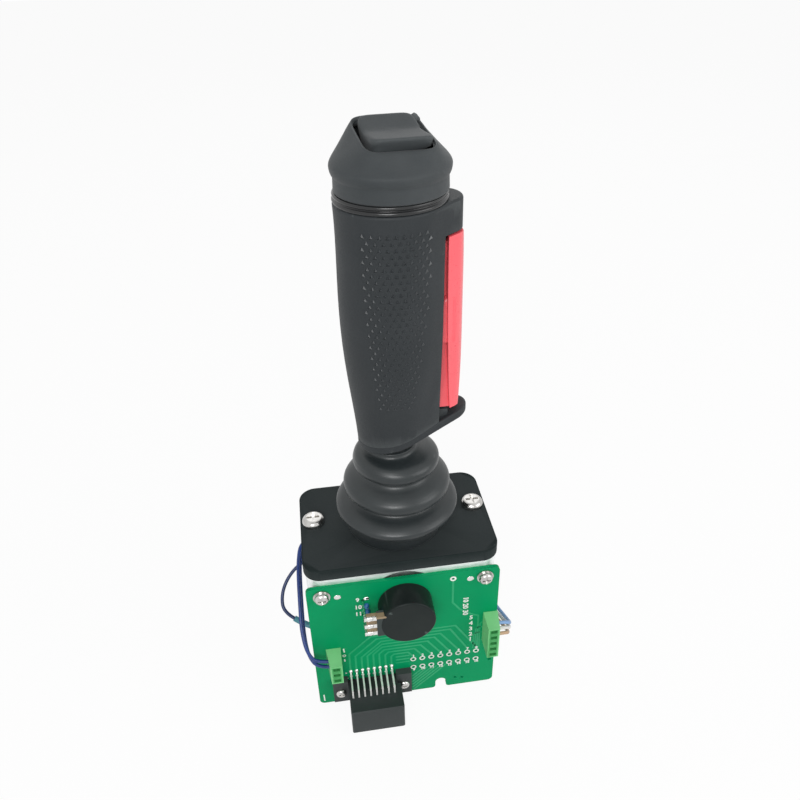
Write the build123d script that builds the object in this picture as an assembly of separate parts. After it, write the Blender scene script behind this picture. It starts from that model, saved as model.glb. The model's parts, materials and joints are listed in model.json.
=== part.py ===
from build123d import *
from math import acos, atan, cos, pi, sin, tan
import os

# Industrial hand joystick: a grip with trigger and thumb rocker on a one-axis sprung base.
# Millimetres. Origin at the centre of the mounting plate's top face, +Z up along the lever,
# -Y towards the front of the circuit board, +X towards the trigger. The lever tilts about Y.

# Mounting plate
plate_overhang_x = 0.7
plate_overhang_y = 1.0
plate_thickness = 5.0
plate_corner_radius = 7.0
plate_edge_round = 0.6

# Frame under the plate
frame_width = 76.6
frame_corner_radius = 6.0
flange_thickness = 4.0
flange_bore_radius = 16.5
wall_thickness = 9.0
skirt_height = 14.0
cheek_half_width = 22.0
cheek_foot_depth = 18.5
window_radius = 16.0
window_recess = 4.5
frame_edge_chamfer = 0.6

# Pivot of the lever
pivot_depth = 22.5
shaft_radius = 5.0
shaft_running_gap = 0.04
bush_radius = 7.0
bush_flange_radius = 8.5
bush_flange_thickness = 1.0
hub_radius = 11.0
cam_radius = 12.5
cam_end_gap = 0.2
hub_neck_height = 14.5
hub_neck_wall = 2.6
tube_radius = 6.0
tube_bore_radius = 4.0
tube_socket_depth = 8.0
set_screw_radius = 1.5
clip_radius = 7.5
clip_thickness = 1.0

# Screws
plate_screw_edge = 4.8
plate_screw_y = 3.0
plate_screw_radius = 2.5
plate_screw_head_radius = 4.6
plate_screw_head_height = 3.0
plate_screw_length = 13.0
plate_screw_boss_radius = 4.6
plate_screw_boss_depth = 12.0
board_screw_x = 32.8
board_screw_drop = 13.0
board_screw_radius = 1.5
board_screw_head_radius = 2.8
board_screw_head_height = 2.2
board_screw_length = 8.0
rear_hole_x = 29.0
rear_hole_drop = 14.5
rear_hole_radius = 1.25
washer_radius = 3.4
washer_thickness = 0.7
screw_clearance = 0.05

# Circuit board
board_width = 77.8
board_height = 72.4
board_thickness = 1.6
board_top_drop = 8.8
board_corner_radius = 2.2
board_notch_x = 15.2
board_notch_radius = 2.4
board_notch_depth = 6.0
board_notch_flare = 1.4
board_small_holes = (
    (37.0, -66.4, 0.9), (21.7, -76.0, 0.6), (24.8, -76.7, 0.6), (19.8, -12.4, 0.7),
)
pad_pitch = 3.96
pad_first_x = 3.0
pad_row_z = (-59.4, -64.5)
pad_columns = 8
pad_hole_radius = 0.5
lead_hole_clearance = 0.12

# Potentiometer on the board
pot_radius = 11.0
pot_length = 10.7
pot_bush_radius = 4.75
pot_bush_length = 5.3
pot_nut_flats = 12.7
pot_nut_thickness = 2.4
pot_shaft_radius = 3.0
pot_tab_reach = 12.4
pot_tab_half_height = 5.5
pot_tab_thickness = 3.5
pot_lug_pitch = 4.2
pot_lug_reach = 4.9
pot_lug_height = 2.0
pot_lug_thickness = 0.6

# Small blue capacitor between the potentiometer's lugs and its tab
capacitor_x = -14.4
capacitor_width = 1.6
capacitor_height = 6.2
capacitor_thickness = 1.5
capacitor_drop = 0.8
capacitor_corner = 0.7

# Terminal blocks
pole_pitch = 3.5
block_base_width = 6.2
block_face_width = 4.8
block_height = 9.4
left_block_x = -33.8
left_block_top = -45.2
left_block_poles = 3
right_block_x = 39.2
right_block_top = -35.0
right_block_poles = 5
wire_entry_height = 4.8
wire_entry_radius = 1.0
wire_entry_depth = 3.8
screw_slot_width = 2.7
screw_slot_height = 1.7
tail_radius = 0.5
tail_reach = 1.4

# Plug header
header_pitch = 2.54
header_columns = 8
header_first_x = -24.3
header_row_z = -62.7
header_leg_reach = 9.0
header_pin_width = 0.64
header_top_drop = 4.6
header_height = 13.7
header_reach = 16.5
header_side_wall = 1.6
header_key_side = 1.6
header_edge_round = 0.8
header_socket_depth = 9.4
header_pin_recess = 4.6
header_flange_thickness = 3.0
header_ear_width = 6.6
header_ear_height = 13.0
header_ear_rise = 2.8
header_screw_radius = 1.2
header_screw_head_radius = 2.2
header_screw_head_height = 1.6
header_screw_length = 5.0

# Centring spring
spring_coil_radius = 7.0
spring_wire_radius = 0.8
spring_turns = 1.5
spring_pitch = 2.0
spring_leg_reach = 16.5
spring_gap = 0.1
hub_neck_step = 0.4
hub_tab_reach = 10.8
anchor_reach = 15.5
tab_thickness = 2.0

# Switches beside the cam
switch_length = 19.8
switch_width = 6.4
switch_height = 10.0
switch_inner_x = 14.5
switch_screw_pitch = 13.4
switch_screw_radius = 1.2
switch_screw_head_radius = 2.2
switch_screw_head_height = 1.6
switch_screw_length = 10.0
plunger_radius = 1.2
plunger_gap = 0.4
plunger_guide_depth = 5.0
plunger_travel = 0.6
blade_reach = 4.0
blade_width = 3.0
blade_thickness = 0.5
blade_pitch = 6.0

# Bellows boot: outer radius and height of the neck, the three ridges and the folds between
boot_neck_radius = 18.2
boot_flange_radius = 21.4
boot_flange_thickness = 1.4
boot_ridges = ((24.3, 10.6), (21.0, 21.3), (16.8, 31.8))
boot_folds = ((18.0, 13.2), (14.8, 23.8))
boot_bowl_radii = (22.6, 20.3, 16.4)
boot_bowl_heights = (4.4, 17.0, 27.4)
boot_collar_radius = 9.0
boot_collar_foot = 37.6
boot_collar_top = 40.2
boot_wall = 1.4
boot_seat_gap = 0.3

# Grip: height, palm side, palm radius and nose radius of each level, top first
grip_levels = (
    (135.0, -16.1, 18.5, 8.0),
    (97.0, -16.4, 18.3, 7.6),
    (75.0, -15.5, 17.2, 7.2),
    (58.0, -13.9, 15.3, 6.9),
    (40.0, -12.7, 13.9, 6.7),
)
grip_top = grip_levels[0][0]
grip_nose_x = 25.7
grip_wall = 2.8
grip_floor = 11.5
grip_cavity_reach = 13.6
grip_heel_height = 44.5
grip_heel_slope = 0.28
grip_edge_round = 1.0

# Plate under the grip, with its nose below the trigger
base_plate_thickness = 3.3
base_plate_left = -12.8
base_plate_nose_x = 28.6
base_plate_palm_radius = 14.0
base_plate_nose_radius = 6.7
base_plate_round = 0.8
heel_stop_top = 56.4
heel_stop_x = (17.1, 20.6)
base_screw_places = ((-10.0, 0.0), (12.5, 0.0))
base_screw_radius = 1.3
base_screw_head_radius = 2.4
base_screw_head_height = 1.4
base_screw_length = 7.0

# Trigger and the recess that it lies in
recess_drop = 10.4
recess_overcut = 10.0
recess_top_x = 18.3
recess_foot_x = 16.4
trigger_top_gap = 0.7
trigger_foot = 57.5
trigger_outer_x = (25.5, 26.0, 24.6)
trigger_inner_x = (19.6, 19.9, 21.1)
trigger_waist_height = 83.0
trigger_web_inner_x = 14.5
trigger_web_half_width = 5.6
trigger_web_foot = 57.5
trigger_web_drop = 3.2
trigger_pivot_x = 15.8
trigger_pivot_drop = 5.6
trigger_pin_radius = 1.5
trigger_pin_half_length = 10.5
trigger_slot_gap = 0.5
trigger_switch_gap = 1.6
trigger_plunger_reach = 2.7
trigger_boss_drop = 5.1
trigger_boss_rise = 12.5
trigger_boss_radius = 8.0
trigger_boss_half_width = 7.4
trigger_boss_end_round = 2.0
trigger_press_depth = 5.5
trigger_spring_drop = 13.0
trigger_spring_seat_x = 6.0
trigger_spring_radius = 2.6
trigger_spring_seat_rim = 1.4
trigger_spring_wire = 0.35
trigger_spring_turns = 5
rib_thickness = 3.0
tube_stand = 1.0
clamp_radius = 10.3
clamp_height = 9.0
clamp_screw_radius = 1.5

# Bezel, cap boot and thumb rocker, all round the cap axis and turned a little to the left
cap_x = 2.8
cap_turn = 6.0
bezel_height = 3.0
bezel_radius = 18.5
cap_foot_radius = 18.25
cap_crease_rise = 6.0
cap_waist_radius = 18.95
cap_waist_rise = 7.8
cap_seam_step = 0.05
cap_wall = 1.9
cap_inner_drop = 0.5
cap_top_rise = 16.2
cap_top_slope = 0.254
cap_top_half_width = 10.8
cap_top_half_depth = 12.5
cap_top_corner = 4.0
carrier_radius = 16.0
carrier_seat_depth = 6.0
carrier_floor = 3.0
carrier_rise = 1.0
carrier_gap = 0.3
carrier_wire_hole_radius = 5.0
post_half_depth = 4.0
post_thickness = 1.7
post_side_gap = 0.1
post_rise = 2.2
rocker_pivot_rise = 10.0
rocker_pin_radius = 1.2
rocker_lever_half_height = 2.5
rocker_lever_half_depth = 8.2
rocker_lever_side_gap = 0.3
rocker_half_width = 8.6
rocker_half_depth = 9.8
rocker_front_rise = 7.3
rocker_valley_rise = 7.1
rocker_back_rise = 10.7
rocker_corner = 2.6
rocker_edge_round = 0.9
rocker_side_gap = 0.6
rocker_end_gap = 1.35
rocker_spring_y = 6.0
rocker_spring_radius = 1.8
rocker_spring_wire = 0.3
rocker_spring_turns = 4

# Lead wires: radius, and the hand-laid points near each end, measured from that end
wire_radius = 0.75
sleeve_radius = 1.3
sleeve_end_x = -28.4
sleeve_end_drop = 51.6
junction_offset = (-18.0, 19.0, 4.0)
blue_wire_a_near_blade = (
    (-6.0, 0, 0), (-11.8, -3.3, 0.3), (-13.3, -11.3, -1.7), (-13.7, -19.8, -5.0),
)
blue_wire_a_near_block = (
    (-12.4, 14.4, 19.95), (-12.7, 6.9, 12.45), (-11.2, 1.2, 5.35), (-7.6, 0, 0),
)
blue_wire_b_near_blade = (
    (-6.1, 0, 0), (-11.7, -3.0, 2.9), (-12.7, -10.8, 2.3), (-13.0, -19.2, -0.7),
)
blue_wire_b_near_block = (
    (-11.7, 15.0, 21.85), (-11.9, 7.7, 14.15), (-11.0, 2.0, 6.25), (-7.2, 0, 0),
)
dark_wire_near_blade = ((-7.0, 0, 0), (-14.3, -2.0, -1.8), (-19.9, -6.2, -5.9))
dark_wire_near_sleeve = ((-4.8, 6.2, 8.0), (-4.4, 1.65, 2.86))
sleeve_near_wire = ((4.8, -1.8, -3.12), (11.0, -3.8, -4.0))
sleeve_near_board = ((-2.0, 10.8, 0), (0, 5.4, 0))
light_blue_wire_near_block = (
    (6.4, 0, 0), (9.4, 3.2, -5.45), (9.0, 10.4, -9.45), (5.4, 17.2, -7.45),
)
light_blue_wire_near_blade = (
    (9.9, -17.6, -20.9), (9.5, -9.8, -12.5), (9.9, -3.2, -3.9), (5.7, 0, 0),
)
white_wire_near_block = (
    (6.5, 0, 0), (9.5, 3.4, -5.05), (8.8, 10.8, -8.75), (4.8, 17.6, -6.95),
)
white_wire_near_blade = (
    (9.3, -17.0, -18.9), (8.9, -9.6, -11.7), (9.3, -3.2, -3.9), (5.5, 0, 0),
)
tan_wire_near_block = (
    (6.2, 0, 0), (9.2, 3.5, -4.65), (8.2, 11.0, -7.85), (4.0, 18.0, -6.45),
)
tan_wire_near_blade = (
    (8.7, -16.4, -16.9), (8.3, -9.0, -10.9), (8.9, -3.2, -3.7), (5.3, 0, 0),
)

# Levels and faces that several pieces share
frame_top = -plate_thickness
flange_foot = frame_top - flange_thickness
skirt_foot = frame_top - skirt_height
pivot_z = -pivot_depth
cheek_foot = pivot_z - cheek_foot_depth
spring_room = spring_turns * spring_pitch + 2 * (spring_wire_radius + 2 * spring_gap)
hub_neck_radius = tube_radius + hub_neck_wall
hub_half_length = hub_neck_radius + hub_neck_step
thrust_face = hub_half_length + spring_room
wall_inner = thrust_face + bush_flange_thickness
wall_outer = wall_inner + wall_thickness
bearing_outer = wall_outer - window_recess
frame_depth = 2 * wall_outer
plate_width = frame_width + 2 * plate_overhang_x
plate_depth = frame_depth + 2 * plate_overhang_y
plate_screw_x = frame_width / 2 - plate_screw_edge
board_back = -wall_outer
board_front = board_back - board_thickness
board_top = -board_top_drop
board_foot = board_top - board_height
board_screw_z = -board_screw_drop
pot_back = board_front - pot_length
grip_heel_x = base_plate_left
grip_heel_angle = atan(grip_heel_slope) * 180 / pi
header_left = header_first_x - header_side_wall
header_right = header_first_x + (header_columns - 1) * header_pitch + header_side_wall
header_top = header_row_z - header_top_drop
header_foot = header_top - header_height
header_face = board_front - header_reach
grip_cavity_foot = grip_heel_height + grip_floor
tube_top = grip_cavity_foot + clamp_height + tube_stand
recess_top_height = grip_top - recess_drop
trigger_top = recess_top_height - trigger_top_gap
trigger_web_top = recess_top_height - trigger_web_drop
trigger_pivot_height = recess_top_height - trigger_pivot_drop
trigger_spring_height = trigger_pivot_height - trigger_spring_drop
trigger_spring_seat_half = trigger_spring_radius + trigger_spring_seat_rim
trigger_switch_top = trigger_spring_height - trigger_spring_seat_half - trigger_switch_gap
trigger_switch_height = trigger_switch_top - switch_length / 2
trigger_boss_foot = trigger_switch_height - trigger_boss_drop
trigger_boss_top = trigger_switch_height + trigger_boss_rise
bezel_top = grip_top + bezel_height
carrier_foot = grip_top - carrier_seat_depth
carrier_top = bezel_top + carrier_rise
grip_cavity_top = carrier_foot - carrier_floor
cap_crease_height = bezel_top + cap_crease_rise
cap_waist_height = bezel_top + cap_waist_rise
cap_top_height = bezel_top + cap_top_rise
rocker_pivot_height = bezel_top + rocker_pivot_rise
rocker_lever_foot = rocker_pivot_height - rocker_lever_half_height
rocker_pad_foot = rocker_pivot_height + rocker_lever_half_height
rocker_front_height = rocker_pivot_height + rocker_front_rise
rocker_valley_height = rocker_pivot_height + rocker_valley_rise
rocker_back_height = rocker_pivot_height + rocker_back_rise
post_top = rocker_pivot_height + post_rise
cap_inner_radius = carrier_radius + carrier_gap


def block(x, y, z):
    """Box from a low and a high value along each axis."""
    middle = [(low + high) / 2 for low, high in (x, y, z)]
    return Pos(*middle) * Box(x[1] - x[0], y[1] - y[0], z[1] - z[0])


def rod_x(radius, x, y, z):
    return Solid.make_cylinder(radius, x[1] - x[0], Plane((x[0], y, z), z_dir=(1, 0, 0)))


def rod_y(radius, x, y, z):
    return Solid.make_cylinder(radius, y[1] - y[0], Plane((x, y[0], z), z_dir=(0, 1, 0)))


def rod_z(radius, x, y, z):
    return Solid.make_cylinder(radius, z[1] - z[0], Plane((x, y, z[0]), z_dir=(0, 0, 1)))


def save(name, *pieces):
    """Write one node: a single solid, or a group of like solids that stay separate."""
    solids = [solid for piece in pieces for solid in piece.solids()]
    shape = solids[0] if len(solids) == 1 else Compound(solids)
    export_step(shape, f"parts/{name}.step")


def mirrored(piece):
    return piece.mirror(Plane.YZ)


def prism_y(points, half_width):
    """Side outline in X and Z, carried the same distance to both sides of Y = 0."""
    outline = make_face(Polyline(*points, close=True).edges())
    return extrude(Plane.XZ * outline, half_width, both=True)


# Mounting plate and frame

def rounded_slab(width, depth, corner, top, thickness):
    outline = RectangleRounded(width, depth, corner)
    return extrude(Pos(0, 0, top - thickness) * outline, thickness)


def mounting_plate():
    plate = rounded_slab(plate_width, plate_depth, plate_corner_radius, 0, plate_thickness)
    plate = fillet(plate.faces().sort_by(Axis.Z)[-1].edges(), plate_edge_round)
    plate -= rod_z(boot_neck_radius + boot_seat_gap, 0, 0, (-plate_thickness, 0))
    seat_top = -plate_thickness + boot_flange_thickness
    plate -= rod_z(boot_flange_radius + boot_seat_gap, 0, 0, (-plate_thickness, seat_top))
    for x in (-plate_screw_x, plate_screw_x):
        hole = plate_screw_radius + 4 * screw_clearance
        plate -= rod_z(hole, x, plate_screw_y, (-plate_thickness, 0))
    return plate


def frame_wall(side):
    """One upright wall: full width under the flange, then a cheek that carries the bearing."""
    faces = sorted((side * wall_inner, side * wall_outer))
    half = frame_width / 2 - frame_corner_radius
    skirt = block((-half, half), faces, (skirt_foot, flange_foot))
    cheek = block((-cheek_half_width, cheek_half_width), faces, (cheek_foot, flange_foot))
    wall = skirt + fillet(cheek.edges().filter_by(Axis.Y).group_by(Axis.Z)[0], 6)
    return wall


def frame_housing():
    slab = rounded_slab(frame_width, frame_depth, frame_corner_radius, frame_top, skirt_height)
    middle = block(
        (-frame_width, frame_width), (-wall_inner, wall_inner), (skirt_foot, flange_foot)
    )
    frame = slab - middle
    for side in (-1, 1):
        frame += frame_wall(side)
    for x in (-plate_screw_x, plate_screw_x):
        boss_foot = frame_top - plate_screw_boss_depth
        frame += rod_z(plate_screw_boss_radius, x, plate_screw_y, (boss_foot, flange_foot))
    frame = chamfer(frame.faces().sort_by(Axis.Z)[-1].edges(), frame_edge_chamfer)
    frame -= rod_z(flange_bore_radius, 0, 0, (flange_foot, frame_top))
    for side in (-1, 1):
        recess = sorted((side * bearing_outer, side * wall_outer))
        seat = sorted((side * wall_inner, side * bearing_outer))
        frame -= rod_y(window_radius, 0, recess, pivot_z)
        frame -= rod_y(bush_radius, 0, seat, pivot_z)
    screw_end = -wall_outer + board_screw_length
    rear_end = wall_outer - board_screw_length
    for side in (-1, 1):
        x = side * board_screw_x
        frame -= rod_y(board_screw_radius, x, (-wall_outer, screw_end), board_screw_z)
        x = side * rear_hole_x
        frame -= rod_y(rear_hole_radius, x, (rear_end, wall_outer), -rear_hole_drop)
    for x in (-plate_screw_x, plate_screw_x):
        hole_foot = frame_top - plate_screw_boss_depth
        frame -= rod_z(plate_screw_radius, x, plate_screw_y, (hole_foot, frame_top))
    for x, z in switch_screw_places():
        frame -= rod_y(switch_screw_radius, x, (wall_inner, wall_inner + wall_thickness / 2), z)
    return frame


def pan_screw(radius, head_radius, head_height, length, seat):
    """Round-headed screw on the given plane: head above it, shank below."""
    dome_drop = head_height * 0.35
    head = Solid.make_cylinder(head_radius, head_height, Plane.XY)
    head = fillet(head.faces().sort_by(Axis.Z)[-1].edges(), head_height - dome_drop)
    slot_width = head_radius * 0.24
    slot_length = head_radius * 1.15
    slot = Box(slot_length, slot_width, dome_drop) + Box(slot_width, slot_length, dome_drop)
    head -= Pos(0, 0, head_height - dome_drop / 2) * slot
    shank = Solid.make_cylinder(radius, length, Plane.XY.offset(-length))
    return seat * (head + shank)


def plate_screws():
    radius = plate_screw_radius - screw_clearance
    return [
        pan_screw(radius, plate_screw_head_radius, plate_screw_head_height, plate_screw_length,
                  Plane((x, plate_screw_y, 0)))
        for x in (-plate_screw_x, plate_screw_x)
    ]


# Bellows boot

def boot_profile(inset, drop):
    """Outline of the boot's wall in radius and height, moved in by a wall."""
    def at(radius, height):
        return Vector(radius - inset, 0, height - drop)

    foot = -plate_thickness + boot_flange_thickness
    starts = ((boot_neck_radius, 0),) + boot_folds
    edges = [Line(at(boot_neck_radius, foot + drop), at(boot_neck_radius, 0))]
    for start, bowl_radius, bowl_height, ridge in zip(
        starts, boot_bowl_radii, boot_bowl_heights, boot_ridges
    ):
        edges.append(ThreePointArc(at(*start), at(bowl_radius, bowl_height), at(*ridge)))
    for ridge, fold in zip(boot_ridges, boot_folds):
        edges.append(Line(at(*ridge), at(*fold)))
    edges.append(Line(at(*boot_ridges[-1]), at(boot_collar_radius, boot_collar_foot)))
    return edges


def bellows_boot():
    outer = boot_profile(0, 0)
    inner = boot_profile(boot_wall, boot_wall * 0.7)
    foot = -plate_thickness + boot_flange_thickness
    inner_foot = boot_neck_radius - boot_wall
    collar_bore = tube_radius + boot_seat_gap
    inner_top = Vector(boot_collar_radius - boot_wall, 0, boot_collar_foot - boot_wall * 0.7)
    rim = Polyline(
        (inner_foot, 0, foot), (inner_foot, 0, -plate_thickness),
        (boot_flange_radius, 0, -plate_thickness), (boot_flange_radius, 0, foot),
        (boot_neck_radius, 0, foot),
    )
    collar = Polyline(
        inner_top, (collar_bore, 0, inner_top.Z), (collar_bore, 0, boot_collar_top),
        (boot_collar_radius, 0, boot_collar_top), (boot_collar_radius, 0, boot_collar_foot),
    )
    section = make_face(outer + inner + rim.edges() + collar.edges())
    return revolve(section, Axis.Z)


# Lever hub, shaft and bearings

def bearing(side):
    seat = sorted((side * wall_inner, side * bearing_outer))
    flange = sorted((side * thrust_face, side * wall_inner))
    bush = rod_y(bush_radius, 0, seat, pivot_z) + rod_y(bush_flange_radius, 0, flange, pivot_z)
    bore = sorted((side * thrust_face, side * bearing_outer))
    return bush - rod_y(shaft_radius + shaft_running_gap, 0, bore, pivot_z)


def pivot_shaft():
    front = -bearing_outer - 0.3
    back = bearing_outer + 3.0
    shaft = rod_y(shaft_radius, 0, (front, back), pivot_z)
    socket = pot_shaft_radius + screw_clearance
    shaft -= rod_y(socket, 0, (front, front + pot_bush_length), pivot_z)
    groove_start = bearing_outer + 0.3
    groove = rod_y(shaft_radius, 0, (groove_start, groove_start + clip_thickness), pivot_z)
    groove -= rod_y(shaft_radius - 1, 0, (groove_start, groove_start + clip_thickness), pivot_z)
    return shaft - groove


def retaining_clip():
    start = bearing_outer + 0.3
    span = (start, start + clip_thickness)
    clip = rod_y(clip_radius, 0, span, pivot_z)
    clip -= rod_y(shaft_radius - 1 + screw_clearance, 0, span, pivot_z)
    gap = block((-1.5, 1.5), span, (pivot_z, pivot_z + clip_radius))
    return clip - gap


def lever_hub():
    cam_end = thrust_face - cam_end_gap
    neck_top = pivot_z + hub_neck_height
    hub = rod_y(hub_radius, 0, (-hub_half_length, hub_half_length), pivot_z)
    hub += rod_y(cam_radius, 0, (hub_half_length, cam_end), pivot_z)
    hub += rod_z(hub_neck_radius, 0, 0, (pivot_z, neck_top))
    tab_half = spring_coil_radius - spring_wire_radius - spring_gap
    tab_top = pivot_z - hub_tab_reach + tab_thickness
    hub += block(
        (-tab_half, tab_half), (-thrust_face + cam_end_gap, -hub_half_length),
        (pivot_z - hub_tab_reach, tab_top),
    )
    hub -= rod_y(shaft_radius, 0, (-hub_half_length, cam_end), pivot_z)
    socket_foot = neck_top - tube_socket_depth
    hub -= rod_z(tube_radius, 0, 0, (socket_foot, neck_top))
    for side in (-1, 1):
        hub -= cam_notch(side)
    set_screw_z = neck_top - tube_socket_depth / 2
    return hub - rod_x(set_screw_radius, (-hub_neck_radius, 0), 0, set_screw_z)


def cam_notch(side):
    """Shallow flat where a switch plunger rests while the lever stands upright."""
    depth = 0.9
    x = sorted((side * (cam_radius - depth), side * (cam_radius + depth)))
    return block(x, (hub_half_length, thrust_face), (pivot_z - 2.2, pivot_z + 2.2))


def lever_tube():
    foot = pivot_z + hub_neck_height - tube_socket_depth
    tube = rod_z(tube_radius, 0, 0, (foot, tube_top))
    return tube - rod_z(tube_bore_radius, 0, 0, (foot, tube_top))


def hub_set_screw():
    z = pivot_z + hub_neck_height - tube_socket_depth / 2
    return rod_x(set_screw_radius, (-hub_neck_radius + 0.2, -tube_radius), 0, z)


# Centring spring and its anchor on the frame

def centring_spring():
    start = -thrust_face + spring_wire_radius + spring_gap
    height = spring_turns * spring_pitch
    plane = Plane((0, start, pivot_z), x_dir=(1, 0, 0), z_dir=(0, 1, 0))
    path = plane * Helix(spring_pitch, height, spring_coil_radius)
    section = Plane(path @ 0, z_dir=path % 0) * Circle(spring_wire_radius)
    spring = sweep(section, path)
    foot = pivot_z - spring_leg_reach
    for point in (path @ 0, path @ 1):
        spring += rod_z(spring_wire_radius, point.X, point.Y, (foot, point.Z))
        spring += Pos(*point) * Sphere(spring_wire_radius)
    return spring


def spring_anchor():
    half = spring_coil_radius - spring_wire_radius - spring_gap
    foot = pivot_z - anchor_reach
    return block(
        (-half, half), (-wall_inner, -hub_half_length - spring_gap), (foot, foot + tab_thickness)
    )


# Switches that the cam works

def switch_screw_places():
    x = switch_inner_x + switch_height / 2
    drop = switch_screw_pitch / 2
    return [(side * x, pivot_z + end * drop) for side in (-1, 1) for end in (-1, 1)]


def cam_switch():
    """Right-hand switch body; the left one is its mirror image."""
    y = (wall_inner - switch_width, wall_inner)
    outer_x = switch_inner_x + switch_height
    body = block(
        (switch_inner_x, outer_x), y, (pivot_z - switch_length / 2, pivot_z + switch_length / 2)
    )
    body = fillet(body.edges().filter_by(Axis.Y), 0.8)
    guide = (switch_inner_x, switch_inner_x + plunger_guide_depth)
    body -= rod_x(plunger_radius + screw_clearance, guide, sum(y) / 2, pivot_z)
    for x, z in switch_screw_places():
        if x > 0:
            body -= rod_y(switch_screw_radius + screw_clearance, x, y, z)
    return body


def switch_plunger():
    y = wall_inner - switch_width / 2
    tip = cam_radius + plunger_gap
    inner = switch_inner_x + plunger_guide_depth - plunger_travel - 0.6
    plunger = rod_x(plunger_radius, (tip, inner), y, pivot_z)
    return fillet(plunger.edges().sort_by(Axis.X)[0], 0.6)


def switch_blades():
    y = wall_inner - switch_width / 2
    x = (switch_inner_x + switch_height, switch_inner_x + switch_height + blade_reach)
    width = blade_width / 2
    thickness = blade_thickness / 2
    return [
        block(x, (y - thickness, y + thickness), (z - width, z + width))
        for z in (pivot_z - blade_pitch, pivot_z, pivot_z + blade_pitch)
    ]


def switch_screws():
    seat_y = wall_inner - switch_width
    return [
        pan_screw(switch_screw_radius, switch_screw_head_radius, switch_screw_head_height,
                  switch_screw_length, Plane((x, seat_y, z), z_dir=(0, -1, 0)))
        for x, z in switch_screw_places()
    ]


# Circuit board and what stands on it

def pad_places():
    return [
        (pad_first_x + column * pad_pitch, z) for z in pad_row_z for column in range(pad_columns)
    ]


def header_pin_places():
    """Hole of each header pin in the board, and how far its leg stands out."""
    return [
        (header_first_x + column * header_pitch, header_row_z - row * header_pitch,
         header_leg_reach - row * header_pitch)
        for row in (0, 1) for column in range(header_columns)
    ]


def block_pole_places(block_top, poles):
    return [block_top - (pole + 0.5) * pole_pitch for pole in range(poles)]


def block_tail_places():
    left_x = left_block_x + block_base_width / 2
    right_x = right_block_x - block_base_width / 2
    left = [(left_x, z) for z in block_pole_places(left_block_top, left_block_poles)]
    right = [(right_x, z) for z in block_pole_places(right_block_top, right_block_poles)]
    return left + right


def pot_lug_places():
    x = -pot_tab_reach - pot_lug_reach + pot_lug_thickness / 2
    return [(x, pivot_z + step * pot_lug_pitch) for step in (-1, 0, 1)]


def header_screw_places():
    z = header_top + header_ear_rise - header_ear_height / 2
    half_ear = header_ear_width / 2
    return [(header_left - half_ear, z), (header_right + half_ear, z)]


def board_notch_mouth(board):
    edges = board.edges().filter_by(Axis.Y).group_by(Axis.Z)[0]
    return [edge for edge in edges if abs(edge.center().X - board_notch_x) < 2 * board_notch_radius]


def circuit_board():
    thickness = (board_front, board_back)
    centre = (0, board_back, (board_top + board_foot) / 2)
    middle = Plane(centre, x_dir=(1, 0, 0), z_dir=(0, -1, 0))
    outline = RectangleRounded(board_width, board_height, board_corner_radius)
    board = extrude(middle * outline, board_thickness)
    notch_z = board_foot + board_notch_depth - board_notch_radius
    board -= rod_y(board_notch_radius, board_notch_x, thickness, notch_z)
    board -= block(
        (board_notch_x - board_notch_radius, board_notch_x + board_notch_radius),
        thickness, (board_foot - 1, notch_z),
    )
    board = fillet(board_notch_mouth(board), board_notch_flare)
    board -= rod_y(pot_bush_radius + screw_clearance, 0, thickness, pivot_z)
    for x, z, radius in board_small_holes:
        board -= rod_y(radius, x, thickness, z)
    for x in (-board_screw_x, board_screw_x):
        board -= rod_y(board_screw_radius + 4 * screw_clearance, x, thickness, board_screw_z)
    for x, z in pad_places():
        board -= rod_y(pad_hole_radius, x, thickness, z)
    for x, z, _ in header_pin_places():
        board -= rod_y(header_pin_width * 0.71 + lead_hole_clearance, x, thickness, z)
    for x, z in block_tail_places():
        board -= rod_y(tail_radius + lead_hole_clearance, x, thickness, z)
    for x, z in pot_lug_places():
        board -= rod_y(pot_lug_thickness + lead_hole_clearance, x, thickness, z)
    for x, z in header_screw_places():
        board -= rod_y(header_screw_radius + screw_clearance, x, thickness, z)
    return board


def board_washers():
    span = (board_front - washer_thickness, board_front)
    return [
        rod_y(washer_radius, x, span, board_screw_z)
        - rod_y(board_screw_radius + 2 * screw_clearance, x, span, board_screw_z)
        for x in (-board_screw_x, board_screw_x)
    ]


def board_screws():
    seat_y = board_front - washer_thickness
    length = board_screw_length + board_thickness + washer_thickness - 0.5
    return [
        pan_screw(board_screw_radius - screw_clearance, board_screw_head_radius,
                  board_screw_head_height, length,
                  Plane((x, seat_y, board_screw_z), z_dir=(0, -1, 0)))
        for x in (-board_screw_x, board_screw_x)
    ]


def potentiometer_body():
    can = rod_y(pot_radius, 0, (pot_back, board_front), pivot_z)
    can = fillet(can.faces().sort_by(Axis.Y)[0].edges(), 0.7)
    tab = block(
        (-pot_tab_reach, -pot_radius / 2), (pot_back, pot_back + pot_tab_thickness),
        (pivot_z - pot_tab_half_height, pivot_z + pot_tab_half_height),
    )
    bush_end = board_front + pot_bush_length
    bush = rod_y(pot_bush_radius, 0, (board_front, bush_end), pivot_z)
    bore = rod_y(pot_shaft_radius + shaft_running_gap, 0, (pot_back + 6, bush_end), pivot_z)
    return can + tab + bush - bore


def potentiometer_shaft():
    front = pot_back + 6.4
    back = -bearing_outer - 0.3 + pot_bush_length - 0.2
    return rod_y(pot_shaft_radius, 0, (front, back), pivot_z)


def potentiometer_nut():
    plane = Plane((0, board_back, pivot_z), z_dir=(0, 1, 0))
    hexagon = RegularPolygon(pot_nut_flats / 2, 6, major_radius=False)
    nut = extrude(plane * hexagon, pot_nut_thickness)
    span = (board_back, board_back + pot_nut_thickness)
    return nut - rod_y(pot_bush_radius + screw_clearance, 0, span, pivot_z)


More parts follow.
